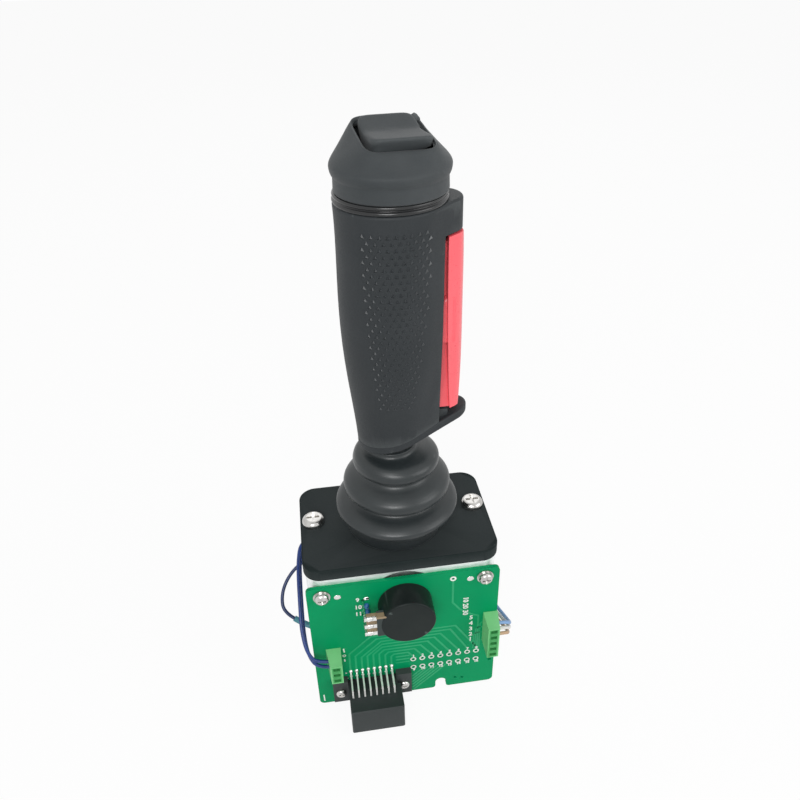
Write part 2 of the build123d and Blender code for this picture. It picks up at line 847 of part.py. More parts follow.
def potentiometer_lugs():
    """Flat lugs that leave the tab sideways and turn back through the board."""
    outer_x = -pot_tab_reach - pot_lug_reach
    front = pot_back + 0.8
    lugs = []
    for _, z in pot_lug_places():
        half = pot_lug_height / 2
        arm = block((outer_x, -pot_tab_reach), (front, front + pot_lug_thickness),
                    (z - half, z + half))
        leg_half = pot_lug_thickness / 2
        leg = block((outer_x, outer_x + pot_lug_thickness), (front, board_back),
                    (z - leg_half, z + leg_half))
        lugs.append(arm + leg)
    return lugs


def blue_capacitor():
    half = capacitor_height / 2
    middle = pivot_z - capacitor_drop
    body = block((capacitor_x - capacitor_width, capacitor_x),
                 (board_front - capacitor_thickness, board_front), (middle - half, middle + half))
    return fillet(body.edges().filter_by(Axis.Y), capacitor_corner)


def terminal_block(outer_x, side, top, poles):
    """Block whose wire side slants in towards its face; side is -1 for wires from the left."""
    inner_x = outer_x - side * block_base_width
    face_x = inner_x + side * block_face_width
    face_y = board_front - block_height
    foot = top - poles * pole_pitch
    outline = Polyline((outer_x, board_front, foot), (inner_x, board_front, foot),
                       (inner_x, face_y, foot), (face_x, face_y, foot), close=True)
    body = extrude(make_face(outline.edges()), poles * pole_pitch, dir=(0, 0, 1))
    entry_y = board_front - wire_entry_height
    for z in block_pole_places(top, poles):
        hole = sorted((outer_x, outer_x - side * wire_entry_depth))
        body -= rod_x(wire_entry_radius, hole, entry_y, z)
        slot_x = (face_x + inner_x) / 2
        body -= block(
            (slot_x - screw_slot_width / 2, slot_x + screw_slot_width / 2),
            (face_y, face_y + 2.5), (z - screw_slot_height / 2, z + screw_slot_height / 2),
        )
    return body


def terminal_tails():
    span = (board_front, board_back + tail_reach)
    return [rod_y(tail_radius, x, span, z) for x, z in block_tail_places()]


def header_housing():
    y = (header_face, board_front)
    body = block((header_left, header_right), y, (header_foot, header_top))
    clear_of_screw = board_front - header_flange_thickness - header_screw_head_height - 0.3
    body += block((header_right, header_right + header_key_side),
                  (header_face, clear_of_screw), (header_foot, header_top))
    body = fillet(body.edges().filter_by(Axis.Z).group_by(Axis.Y)[0], header_edge_round)
    front_edges = body.edges().group_by(Axis.Z)[-1].group_by(Axis.Y)[0]
    body = chamfer(front_edges, header_edge_round / 2)
    ear_top = header_top + header_ear_rise
    for x in ((header_left - header_ear_width, header_left),
              (header_right, header_right + header_ear_width)):
        body += block(x, (board_front - header_flange_thickness, board_front),
                      (ear_top - header_ear_height, ear_top))
    socket = header_socket_box()
    body -= block(*socket)
    pin_hole = header_pin_width / 2 + screw_clearance
    for x, _, reach in header_pin_places():
        pin_y = board_front - reach
        body -= block((x - pin_hole, x + pin_hole), (pin_y - pin_hole, pin_y + pin_hole),
                      (socket[2][1], header_top))
    for x, z in header_screw_places():
        body -= rod_y(header_screw_radius + screw_clearance, x,
                      (board_front - header_flange_thickness, board_front), z)
    return body


def header_socket_box():
    wall = header_side_wall / 2
    return (
        (header_left + wall, header_right - wall),
        (header_face + wall, board_front - header_leg_reach + 2 * header_pitch),
        (header_foot, header_foot + header_socket_depth),
    )


def header_pins():
    """Square pins: out of the board, round a right angle and down into the socket."""
    half = header_pin_width / 2
    tip = header_foot + header_pin_recess
    pins = []
    for x, z, reach in header_pin_places():
        bend_y = board_front - reach
        leg = block((x - half, x + half), (bend_y - half, board_back + 1.0), (z - half, z + half))
        drop = block((x - half, x + half), (bend_y - half, bend_y + half), (tip, z + half))
        pins.append(leg + drop)
    return pins


def header_screws():
    seat_y = board_front - header_flange_thickness
    return [
        pan_screw(header_screw_radius, header_screw_head_radius, header_screw_head_height,
                  header_screw_length, Plane((x, seat_y, z), z_dir=(0, -1, 0)))
        for x, z in header_screw_places()
    ]


# Grip

def teardrop(height, left, nose, palm_radius, nose_radius):
    """Level outline: a large arc round the palm and a small one at the nose, joined by tangents."""
    palm_x = left + palm_radius
    nose_centre = nose - nose_radius
    turn = acos((palm_radius - nose_radius) / (nose_centre - palm_x))
    palm_point = Vector(palm_x + palm_radius * cos(turn), palm_radius * sin(turn))
    nose_point = Vector(nose_centre + nose_radius * cos(turn), nose_radius * sin(turn))
    palm_low = Vector(palm_point.X, -palm_point.Y)
    nose_low = Vector(nose_point.X, -nose_point.Y)
    edges = [
        ThreePointArc(palm_point, (left, 0), palm_low),
        Line(palm_low, nose_low),
        ThreePointArc(nose_low, (nose, 0), nose_point),
        Line(nose_point, palm_point),
    ]
    return Pos(0, 0, height) * make_face(edges)


def heel_plane(drop=0.0):
    """Slanted underside of the grip, or the plane that lies the given distance below it."""
    origin = (grip_heel_x, 0, grip_heel_height)
    plane = Plane(origin, x_dir=(1, 0, grip_heel_slope), z_dir=(-grip_heel_slope, 0, 1))
    return plane.offset(-drop)


def grip_form():
    return loft([
        teardrop(height, left, grip_nose_x, palm_radius, nose_radius)
        for height, left, palm_radius, nose_radius in grip_levels[::-1]
    ])


def grip_cavity():
    sections = []
    for height, left, palm_radius, _ in grip_levels[::-1]:
        centre = Pos(left + palm_radius, 0, height)
        sections.append(centre * Circle(palm_radius - grip_wall))
    cavity = loft(sections)
    limits = block(
        (-grip_nose_x, grip_cavity_reach), (-grip_nose_x, grip_nose_x),
        (grip_cavity_foot, grip_cavity_top),
    )
    return cavity & limits


def trigger_recess():
    """Space that the trigger fills: the nose side of the grip, below the top step."""
    far = grip_nose_x + recess_overcut
    foot = grip_heel_height - recess_overcut
    return prism_y(
        ((recess_top_x, recess_top_height), (far, recess_top_height), (far, foot),
         (recess_foot_x, foot)), grip_nose_x,
    )


def grip_ribs(form):
    """Ribs inside the grip: two that hold the switch and one for the trigger spring's seat."""
    far = grip_nose_x
    inner = switch_width / 2
    x, z = trigger_switch_span()
    ribs = []
    for y in ((inner, far), (-far, -inner)):
        ribs.append(block((x[0], x[1] - 0.6), y, (z[0] + 3, z[1] - 3)) & form)
    seat = (trigger_spring_seat_x - rib_thickness, trigger_spring_seat_x)
    height = (
        trigger_spring_height - trigger_spring_seat_half,
        trigger_spring_height + trigger_spring_seat_half,
    )
    ribs.append(block(seat, (-far, far), height) & form)
    return ribs


def trigger_switch_span():
    """Span along X and Z of the switch behind the trigger's boss."""
    front = trigger_web_inner_x - plunger_gap - trigger_plunger_reach
    half = switch_length / 2
    return (
        (front - switch_height, front),
        (trigger_switch_height - half, trigger_switch_height + half),
    )


def grip_shell():
    form = grip_form()
    grip = split(form, bisect_by=heel_plane(), keep=Keep.TOP)
    grip = fillet(grip.faces().sort_by(Axis.Z)[-1].edges(), grip_edge_round)
    inner_form = grip_cavity()
    grip -= inner_form
    grip -= trigger_recess()
    web_gap = trigger_web_half_width + trigger_slot_gap
    grip -= block(
        (trigger_web_inner_x - trigger_press_depth, grip_nose_x), (-web_gap, web_gap),
        (trigger_web_foot - 2, trigger_web_top + 1),
    )
    boss_gap = trigger_boss_half_width + trigger_slot_gap
    grip -= block(
        (trigger_web_inner_x - trigger_press_depth / 2, grip_nose_x), (-boss_gap, boss_gap),
        (trigger_boss_foot - 2, trigger_boss_top + 2),
    )
    for rib in grip_ribs(inner_form):
        grip += rib
    grip -= rod_z(tube_radius, 0, 0, (grip_heel_height - recess_overcut, grip_cavity_foot))
    pin_span = (-trigger_pin_half_length, grip_nose_x)
    grip -= rod_y(trigger_pin_radius, trigger_pivot_x, pin_span, trigger_pivot_height)
    grip -= rod_z(carrier_radius + screw_clearance, cap_x, 0, (carrier_foot, grip_top))
    grip -= rod_z(carrier_wire_hole_radius, cap_x, 0, (grip_cavity_top, carrier_foot))
    for seat in base_screw_seats():
        depth = base_screw_length + screw_clearance
        grip -= Solid.make_cylinder(base_screw_radius, depth, seat.offset(-depth))
    return grip


def base_screw_seats():
    """Plane of each screw head under the base plate, its normal pointing down and out."""
    lower = heel_plane(base_plate_thickness)
    seats = []
    for x, y in base_screw_places:
        along = (x - grip_heel_x) / cos(grip_heel_angle * pi / 180)
        origin = lower.from_local_coords((along, y, 0))
        seats.append(Plane(origin, z_dir=-lower.z_dir))
    return seats


def grip_base_plate():
    outline = teardrop(0, base_plate_left, base_plate_nose_x, base_plate_palm_radius,
                       base_plate_nose_radius)
    plate = extrude(outline, grip_top)
    plate = split(plate, bisect_by=heel_plane(), keep=Keep.BOTTOM)
    plate = split(plate, bisect_by=heel_plane(base_plate_thickness), keep=Keep.TOP)
    flats = [face for face in plate.faces() if abs(face.normal_at().Z) > 0.9]
    plate = fillet([edge for face in flats for edge in face.edges()], base_plate_round)
    plate -= rod_z(tube_radius + boot_seat_gap, 0, 0, (0, grip_top))
    width = (-trigger_web_half_width, trigger_web_half_width)
    stop = block(heel_stop_x, width, (grip_heel_height, heel_stop_top))
    plate += split(stop, bisect_by=heel_plane(base_plate_thickness / 2), keep=Keep.TOP)
    for seat in base_screw_seats():
        depth = base_plate_thickness * 2
        hole = Solid.make_cylinder(base_screw_radius + screw_clearance, depth, seat.offset(-depth))
        plate -= hole
    return plate


def base_plate_screws():
    return [
        pan_screw(base_screw_radius - screw_clearance / 2, base_screw_head_radius,
                  base_screw_head_height, base_screw_length, seat)
        for seat in base_screw_seats()
    ]


def tube_clamp():
    span = (grip_cavity_foot, grip_cavity_foot + clamp_height)
    clamp = rod_z(clamp_radius, 0, 0, span) - rod_z(tube_radius, 0, 0, span)
    middle = sum(span) / 2
    return clamp - rod_x(clamp_screw_radius, (-clamp_radius, -tube_radius), 0, middle)


def clamp_screw():
    middle = grip_cavity_foot + clamp_height / 2
    return rod_x(clamp_screw_radius, (-clamp_radius + 0.3, -tube_radius), 0, middle)


# Trigger, its pin, switch and spring

def trigger():
    """Finger plate that carries the grip's nose outline down, on a web that turns on the pin."""
    nose = max(trigger_outer_x) + 0.3
    form = loft([
        teardrop(height, left, nose, palm_radius, nose_radius)
        for height, left, palm_radius, nose_radius in grip_levels[::-1]
    ])
    outer = ThreePointArc(
        (trigger_outer_x[0], 0, trigger_top), (trigger_outer_x[1], 0, trigger_waist_height),
        (trigger_outer_x[2], 0, trigger_foot),
    )
    inner = ThreePointArc(
        (trigger_inner_x[0], 0, trigger_top), (trigger_inner_x[1], 0, trigger_waist_height),
        (trigger_inner_x[2], 0, trigger_foot),
    )
    top = Line(outer @ 0, inner @ 0)
    foot = Line(outer @ 1, inner @ 1)
    side = make_face([outer, inner, top, foot])
    plate = form & extrude(side, grip_nose_x, both=True, dir=(0, 1, 0))
    web = block(
        (trigger_web_inner_x, trigger_inner_x[0] + 2.5),
        (-trigger_web_half_width, trigger_web_half_width), (trigger_web_foot, trigger_web_top),
    )
    body = plate + web + trigger_boss()
    bore = (-trigger_web_half_width - 1, trigger_web_half_width + 1)
    pin_hole = trigger_pin_radius + shaft_running_gap
    return body - rod_y(pin_hole, trigger_pivot_x, bore, trigger_pivot_height)


def trigger_boss():
    """Swelling on the trigger's inner side that presses the switch: flat below, round above."""
    round_foot = trigger_boss_top - trigger_boss_radius
    far_x = trigger_web_inner_x + trigger_boss_radius
    lean = trigger_boss_radius * cos(pi / 4)
    flat = Line((trigger_web_inner_x, 0, trigger_boss_foot), (trigger_web_inner_x, 0, round_foot))
    arc = ThreePointArc(flat @ 1, (far_x - lean, 0, round_foot + lean), (far_x, 0, trigger_boss_top))
    far_foot = (far_x, 0, trigger_boss_foot)
    outline = make_face([flat, arc, Line(arc @ 1, far_foot), Line(far_foot, flat @ 0)])
    boss = extrude(outline, trigger_boss_half_width, both=True, dir=(0, 1, 0))
    ends = boss.edges().group_by(Axis.Y)
    rims = [edge for group in (ends[0], ends[-1]) for edge in group
            if edge.center().X < far_x - 0.01 and edge.center().Z > trigger_boss_foot + 0.01]
    return fillet(rims, trigger_boss_end_round)


def trigger_pin():
    span = (-trigger_pin_half_length, trigger_pin_half_length)
    return rod_y(trigger_pin_radius, trigger_pivot_x, span, trigger_pivot_height)


def trigger_switch():
    x, z = trigger_switch_span()
    half = switch_width / 2
    body = block(x, (-half, half), z)
    body = fillet(body.edges().filter_by(Axis.Y), 0.8)
    guide = (x[1] - plunger_guide_depth, x[1])
    return body - rod_x(plunger_radius + screw_clearance, guide, 0, trigger_switch_height)


def trigger_plunger():
    x, _ = trigger_switch_span()
    span = (x[1] - plunger_guide_depth + 2.0, trigger_web_inner_x - plunger_gap)
    plunger = rod_x(plunger_radius, span, 0, trigger_switch_height)
    return fillet(plunger.edges().sort_by(Axis.X)[-1], 0.6)


def coil_spring(radius, wire, turns, low, length, direction):
    """Open compression spring from the low point along the direction."""
    free = length - 2 * wire
    plane = Plane(Vector(*low) + Vector(*direction) * wire, z_dir=direction)
    path = plane * Helix(free / turns, free, radius)
    return sweep(Plane(path @ 0, z_dir=path % 0) * Circle(wire), path)


def trigger_spring():
    length = trigger_web_inner_x - trigger_spring_seat_x
    low = (trigger_spring_seat_x, 0, trigger_spring_height)
    return coil_spring(trigger_spring_radius, trigger_spring_wire, trigger_spring_turns,
                       low, length, (1, 0, 0))


# Bezel, cap and thumb rocker

def cap_turned(piece):
    return piece.rotate(Axis((cap_x, 0, 0), (0, 0, 1)), cap_turn)


def bezel_ring():
    span = (grip_top, bezel_top)
    ring = rod_z(bezel_radius, cap_x - 0.4, 0, span)
    ring = fillet(ring.edges(), 0.8)
    return ring - rod_z(cap_inner_radius, cap_x, 0, span)


def cap_top_plane(drop=0.0):
    plane = Plane((cap_x, 0, cap_top_height), x_dir=(1, 0, 0), z_dir=(0, -cap_top_slope, 1))
    return plane.offset(-drop)


def cap_form(inset, waist):
    """Upper half of the cap: from the round waist to the slanted, squarish top."""
    waist_side = 2 * (cap_waist_radius - inset)
    low = Pos(cap_x, 0, waist) * RectangleRounded(waist_side, waist_side, waist_side * 0.499)
    width = 2 * (cap_top_half_width - inset * 0.6)
    depth = 2 * (cap_top_half_depth - inset * 0.6)
    high = cap_top_plane(inset) * RectangleRounded(width, depth, cap_top_corner)
    return loft([low, high])


def cap_boot():
    lower = rod_z(cap_foot_radius, cap_x, 0, (bezel_top, cap_crease_height))
    bulge = Solid.make_cone(
        cap_foot_radius, cap_waist_radius - cap_seam_step, cap_waist_height - cap_crease_height,
        Plane((cap_x, 0, cap_crease_height)),
    )
    cap = lower + bulge + cap_form(0, cap_waist_height)
    inner_foot = cap_waist_height - cap_inner_drop
    cap -= rod_z(cap_inner_radius, cap_x, 0, (bezel_top, inner_foot))
    cap -= cap_form(cap_wall, inner_foot)
    opening_x = rocker_half_width + rocker_side_gap
    opening_y = rocker_half_depth + rocker_end_gap
    opening = extrude(
        Pos(cap_x, 0, rocker_lever_foot)
        * RectangleRounded(2 * opening_x, 2 * opening_y, rocker_corner + rocker_side_gap),
        rocker_back_height - rocker_lever_foot,
    )
    return cap - opening


def rocker_carrier():
    carrier = rod_z(carrier_radius, cap_x, 0, (carrier_foot, carrier_top))
    post_x = rocker_half_width + post_side_gap
    for side in (-1, 1):
        x = sorted((cap_x + side * post_x, cap_x + side * (post_x + post_thickness)))
        carrier += block(x, (-post_half_depth, post_half_depth), (carrier_top, post_top))
    pin = (cap_x - carrier_radius, cap_x + carrier_radius)
    carrier -= rod_x(rocker_pin_radius, pin, 0, rocker_pivot_height)
    return carrier


def rocker_pin():
    reach = rocker_half_width + post_side_gap + post_thickness
    return rod_x(rocker_pin_radius, (cap_x - reach, cap_x + reach), 0, rocker_pivot_height)


def rocker_lever():
    half_width = rocker_half_width - rocker_lever_side_gap
    x = (cap_x - half_width, cap_x + half_width)
    y = (-rocker_lever_half_depth, rocker_lever_half_depth)
    lever = block(x, y, (rocker_lever_foot, rocker_pad_foot))
    return lever - rod_x(rocker_pin_radius + shaft_running_gap, x, 0, rocker_pivot_height)


def rocker_pad():
    """Thumb pad with a shallow valley; its back half rises away from the viewer."""
    depth = rocker_half_depth
    side = make_face(Polyline(
        (0, -depth, rocker_pad_foot), (0, -depth, rocker_front_height),
        (0, 0, rocker_valley_height), (0, depth, rocker_back_height),
        (0, depth, rocker_pad_foot), close=True,
    ).edges())
    pad = extrude(Pos(cap_x, 0, 0) * side, rocker_half_width, both=True, dir=(1, 0, 0))
    pad = fillet(pad.edges().filter_by(Axis.Z), rocker_corner)
    top = [face for face in pad.faces() if face.center().Z > rocker_valley_height - 0.5]
    rim = [edge for face in top for edge in face.edges() if edge.center().Y != 0]
    return fillet(rim, rocker_edge_round)


def rocker_springs():
    length = rocker_lever_foot - carrier_top
    return [
        coil_spring(rocker_spring_radius, rocker_spring_wire, rocker_spring_turns,
                    (cap_x, y, carrier_top), length, (0, 0, 1))
        for y in (-rocker_spring_y, rocker_spring_y)
    ]


# Lead wires

def blade_tip(side, row):
    """Where a wire meets a switch blade: row 0 is the highest of the three."""
    x = side * (switch_inner_x + switch_height + blade_reach)
    return (x, wall_inner - switch_width / 2, pivot_z + (1 - row) * blade_pitch)


def block_entry(outer_x, side, top, pole):
    """Bottom of the hole that a wire enters in the side of a terminal block."""
    z = block_pole_places(top, pole + 1)[pole]
    return (outer_x - side * wire_entry_depth, board_front - wire_entry_height, z)


def moved(place, offset):
    return tuple(a + b for a, b in zip(place, offset))


def route(start, near_start, near_end, end):
    """Points of a wire: each hand-laid point keeps its distance from the nearer end."""
    first = [moved(start, offset) for offset in near_start]
    last = [moved(end, offset) for offset in near_end]
    return [start] + first + last + [end]


def wire(name, points, radius):
    """Round wire along straight runs joined by arcs as large as the runs allow."""
    corners = [Vector(*point) for point in points]
    runs = [end - start for start, end in zip(corners, corners[1:])]
    radii = []
    for before, after in zip(runs, runs[1:]):
        half_turn = before.get_angle(after) / 2 * pi / 180
        radii.append(0.45 * min(before.length, after.length) / tan(half_turn))
    path = FilletPolyline(*corners, radius=radii)
    section = Plane(path @ 0, z_dir=path % 0) * Circle(radius)
    solid = sweep(section, path)
    expected = pi * radius**2 * path.length
    print(f"{name}: {path.length:.1f} mm, volume ratio {solid.volume / expected:.4f}, radii",
          " ".join(f"{value:.1f}" for value in radii))
    return solid


def write_base():
    save("mounting_plate", mounting_plate())
    save("frame_housing", frame_housing())
    save("plate_screws", *plate_screws())
    save("bellows_boot", bellows_boot())
    save("front_bearing", bearing(-1))
    save("rear_bearing", bearing(1))
    save("spring_anchor", spring_anchor())
    save("centring_spring", centring_spring())
    save("circuit_board", circuit_board())
    save("board_screws", *board_screws())
    save("board_washers", *board_washers())
    save("potentiometer_body", potentiometer_body())
    save("potentiometer_nut", potentiometer_nut())
    save("potentiometer_lugs", *potentiometer_lugs())
    save("blue_capacitor", blue_capacitor())
    save("left_terminal_block",
         terminal_block(left_block_x, -1, left_block_top, left_block_poles))
    save("right_terminal_block",
         terminal_block(right_block_x, 1, right_block_top, right_block_poles))
    save("terminal_tails", *terminal_tails())
    save("header_housing", header_housing())
    save("header_pins", *header_pins())
    save("header_screws", *header_screws())


def write_switches():
    switch = cam_switch()
    plunger = switch_plunger()
    blades = switch_blades()
    save("right_switch", switch)
    save("left_switch", mirrored(switch))
    save("right_switch_plunger", plunger)
    save("left_switch_plunger", mirrored(plunger))
    save("right_switch_blades", *blades)
    save("left_switch_blades", *[mirrored(blade) for blade in blades])
    save("switch_screws", *switch_screws())


def write_lever():
    save("pivot_shaft", pivot_shaft())
    save("retaining_clip", retaining_clip())
    save("potentiometer_shaft", potentiometer_shaft())
    save("lever_hub", lever_hub())
    save("hub_set_screw", hub_set_screw())
    save("lever_tube", lever_tube())
    save("grip_shell", grip_shell())
    save("grip_base_plate", grip_base_plate())
    save("base_plate_screws", *base_plate_screws())
    save("tube_clamp", tube_clamp())
    save("clamp_screw", clamp_screw())
    save("trigger", trigger())
    save("trigger_pin", trigger_pin())
    save("trigger_switch", trigger_switch())
    save("trigger_plunger", trigger_plunger())
    save("trigger_spring", trigger_spring())
    save("bezel_ring", bezel_ring())
    save("cap_boot", cap_turned(cap_boot()))
    save("rocker_carrier", cap_turned(rocker_carrier()))
    save("rocker_pin", cap_turned(rocker_pin()))
    save("rocker_lever", cap_turned(rocker_lever()))
    save("rocker_pad", cap_turned(rocker_pad()))
    save("rocker_springs", *[cap_turned(spring) for spring in rocker_springs()])


def write_left_wires():
    for row, name, near_blade, near_block in (
        (0, "blue_wire_a", blue_wire_a_near_blade, blue_wire_a_near_block),
        (1, "blue_wire_b", blue_wire_b_near_blade, blue_wire_b_near_block),
    ):
        entry = block_entry(left_block_x, -1, left_block_top, row)
        points = route(blade_tip(-1, row), near_blade, near_block, entry)
        save(name, wire(name, points, wire_radius))
    board_end = (sleeve_end_x, board_back, -sleeve_end_drop)
    junction = moved(board_end, junction_offset)
    points = route(blade_tip(-1, 2), dark_wire_near_blade, dark_wire_near_sleeve, junction)
    save("dark_wire", wire("dark_wire", points, wire_radius))
    points = route(junction, sleeve_near_wire, sleeve_near_board, board_end)
    save("wire_sleeve", wire("wire_sleeve", points, sleeve_radius))


def write_right_wires():
    for row, name, near_block, near_blade in (
        (0, "light_blue_wire", light_blue_wire_near_block, light_blue_wire_near_blade),
        (1, "white_wire", white_wire_near_block, white_wire_near_blade),
        (2, "tan_wire", tan_wire_near_block, tan_wire_near_blade),
    ):
        entry = block_entry(right_block_x, 1, right_block_top, row)
        points = route(entry, near_block, near_blade, blade_tip(1, row))
        save(name, wire(name, points, wire_radius))


os.makedirs("parts", exist_ok=True)
write_base()
write_switches()
write_lever()
write_left_wires()
write_right_wires()
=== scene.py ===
import bpy
import bmesh
import json
import math
from mathutils import Matrix, Vector
from mathutils.bvhtree import BVHTree


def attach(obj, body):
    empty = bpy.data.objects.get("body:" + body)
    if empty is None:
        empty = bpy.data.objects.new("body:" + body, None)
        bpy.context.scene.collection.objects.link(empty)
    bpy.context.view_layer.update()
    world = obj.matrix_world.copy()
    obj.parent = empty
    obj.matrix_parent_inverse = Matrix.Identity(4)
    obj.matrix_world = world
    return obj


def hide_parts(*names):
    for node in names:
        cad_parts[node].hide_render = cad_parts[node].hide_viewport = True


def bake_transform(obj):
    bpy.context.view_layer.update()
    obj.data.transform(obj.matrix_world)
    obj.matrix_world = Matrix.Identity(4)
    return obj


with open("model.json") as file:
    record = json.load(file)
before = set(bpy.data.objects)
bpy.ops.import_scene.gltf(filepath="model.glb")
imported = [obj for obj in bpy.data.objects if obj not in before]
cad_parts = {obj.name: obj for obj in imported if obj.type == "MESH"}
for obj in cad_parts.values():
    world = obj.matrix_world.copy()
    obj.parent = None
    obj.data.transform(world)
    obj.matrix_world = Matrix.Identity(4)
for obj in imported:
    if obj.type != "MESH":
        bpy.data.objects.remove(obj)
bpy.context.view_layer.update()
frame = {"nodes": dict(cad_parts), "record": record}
nodes = frame["nodes"]
MM = 0.001


# Camera: the photograph's place and angle, worked out from the plate, pins and board

camera_data = bpy.data.cameras.new("camera")
camera_data.sensor_width = 36.0
camera_data.lens = 32.66
camera_data.clip_start = 0.01
camera = bpy.data.objects.new("camera", camera_data)
bpy.context.scene.collection.objects.link(camera)
right = Vector((0.98931585, -0.14390293, -0.02336876))
down = Vector((-0.09891516, -0.54480451, -0.83270874))
forward = Vector((0.10709782, 0.82612347, -0.55321792))
pose = Matrix((right, -down, -forward)).transposed().to_4x4()
pose.translation = Vector((-25.24, -223.18, 207.96)) * MM
camera.matrix_world = pose
bpy.context.scene.camera = camera


# Materials

def node_tree(name):
    """New material with its tree, its shader and the object's own coordinates."""
    made = bpy.data.materials.new(name)
    made.use_nodes = True
    tree = made.node_tree
    shader = tree.nodes["Principled BSDF"]
    place = tree.nodes.new("ShaderNodeTexCoord").outputs["Object"]
    return made, tree, shader, place


def noise(tree, place, size, detail=4.0):
    """Noise whose features are about the given size in metres."""
    made = tree.nodes.new("ShaderNodeTexNoise")
    made.inputs["Scale"].default_value = 1 / size
    made.inputs["Detail"].default_value = detail
    made.inputs["Roughness"].default_value = 0.55
    tree.links.new(place, made.inputs["Vector"])
    return made.outputs["Fac"]


def spread(tree, value, low, high, from_low=0.3, from_high=0.7):
    """The value brought from one range into another, low to high."""
    made = tree.nodes.new("ShaderNodeMapRange")
    made.inputs["From Min"].default_value = from_low
    made.inputs["From Max"].default_value = from_high
    made.inputs["To Min"].default_value = low
    made.inputs["To Max"].default_value = high
    tree.links.new(value, made.inputs["Value"])
    return made.outputs["Result"]


def mix_colour(tree, factor, first, second):
    """Mix of two colours, each a tuple or a node's output."""
    made = tree.nodes.new("ShaderNodeMix")
    made.data_type = "RGBA"
    for socket, colour in ((made.inputs[6], first), (made.inputs[7], second)):
        if isinstance(colour, tuple):
            socket.default_value = (*colour, 1)
        else:
            tree.links.new(colour, socket)
    tree.links.new(factor, made.inputs[0])
    return made.outputs[2]


def stretched(tree, place, scale):
    """Place scaled along each axis, for a grain that runs one way."""
    made = tree.nodes.new("ShaderNodeMapping")
    made.inputs["Scale"].default_value = scale
    tree.links.new(place, made.inputs["Vector"])
    return made.outputs["Vector"]


def surface(name, colour, second=None, blotch=0.008, rough=(0.45, 0.6), metallic=0.0,
            grain=0.0006, depth=0.00002, strength=0.5, specular=0.5, coat=0.0,
            stretch=None, edge=None, sheen=0.0):
    """Finish with uneven colour and roughness, a fine grain and, where given, a painted highlight
    on sharp convex edges.
    """
    made, tree, shader, place = node_tree(name)
    second = second or tuple(value * 0.8 for value in colour)
    wide = spread(tree, noise(tree, place, blotch), 0, 1)
    shade = mix_colour(tree, wide, colour, second)
    # Painted highlight: sharp convex edges, found by Pointiness, get the paler edge colour.
    if edge:
        geometry = tree.nodes.new("ShaderNodeNewGeometry")
        edge_highlight = spread(tree, geometry.outputs["Pointiness"], 0, 1, 0.52, 0.62)
        shade = mix_colour(tree, edge_highlight, shade, edge)
    tree.links.new(shade, shader.inputs["Base Color"])
    run = stretched(tree, place, stretch) if stretch else place
    fine = noise(tree, run, grain, 3.0)
    tree.links.new(spread(tree, fine, *rough), shader.inputs["Roughness"])
    bump = tree.nodes.new("ShaderNodeBump")
    bump.inputs["Strength"].default_value = strength
    bump.inputs["Distance"].default_value = depth
    tree.links.new(fine, bump.inputs["Height"])
    tree.links.new(bump.outputs["Normal"], shader.inputs["Normal"])
    shader.inputs["Metallic"].default_value = metallic
    shader.inputs["Specular IOR Level"].default_value = specular
    shader.inputs["Coat Weight"].default_value = coat
    shader.inputs["Sheen Weight"].default_value = sheen
    return made
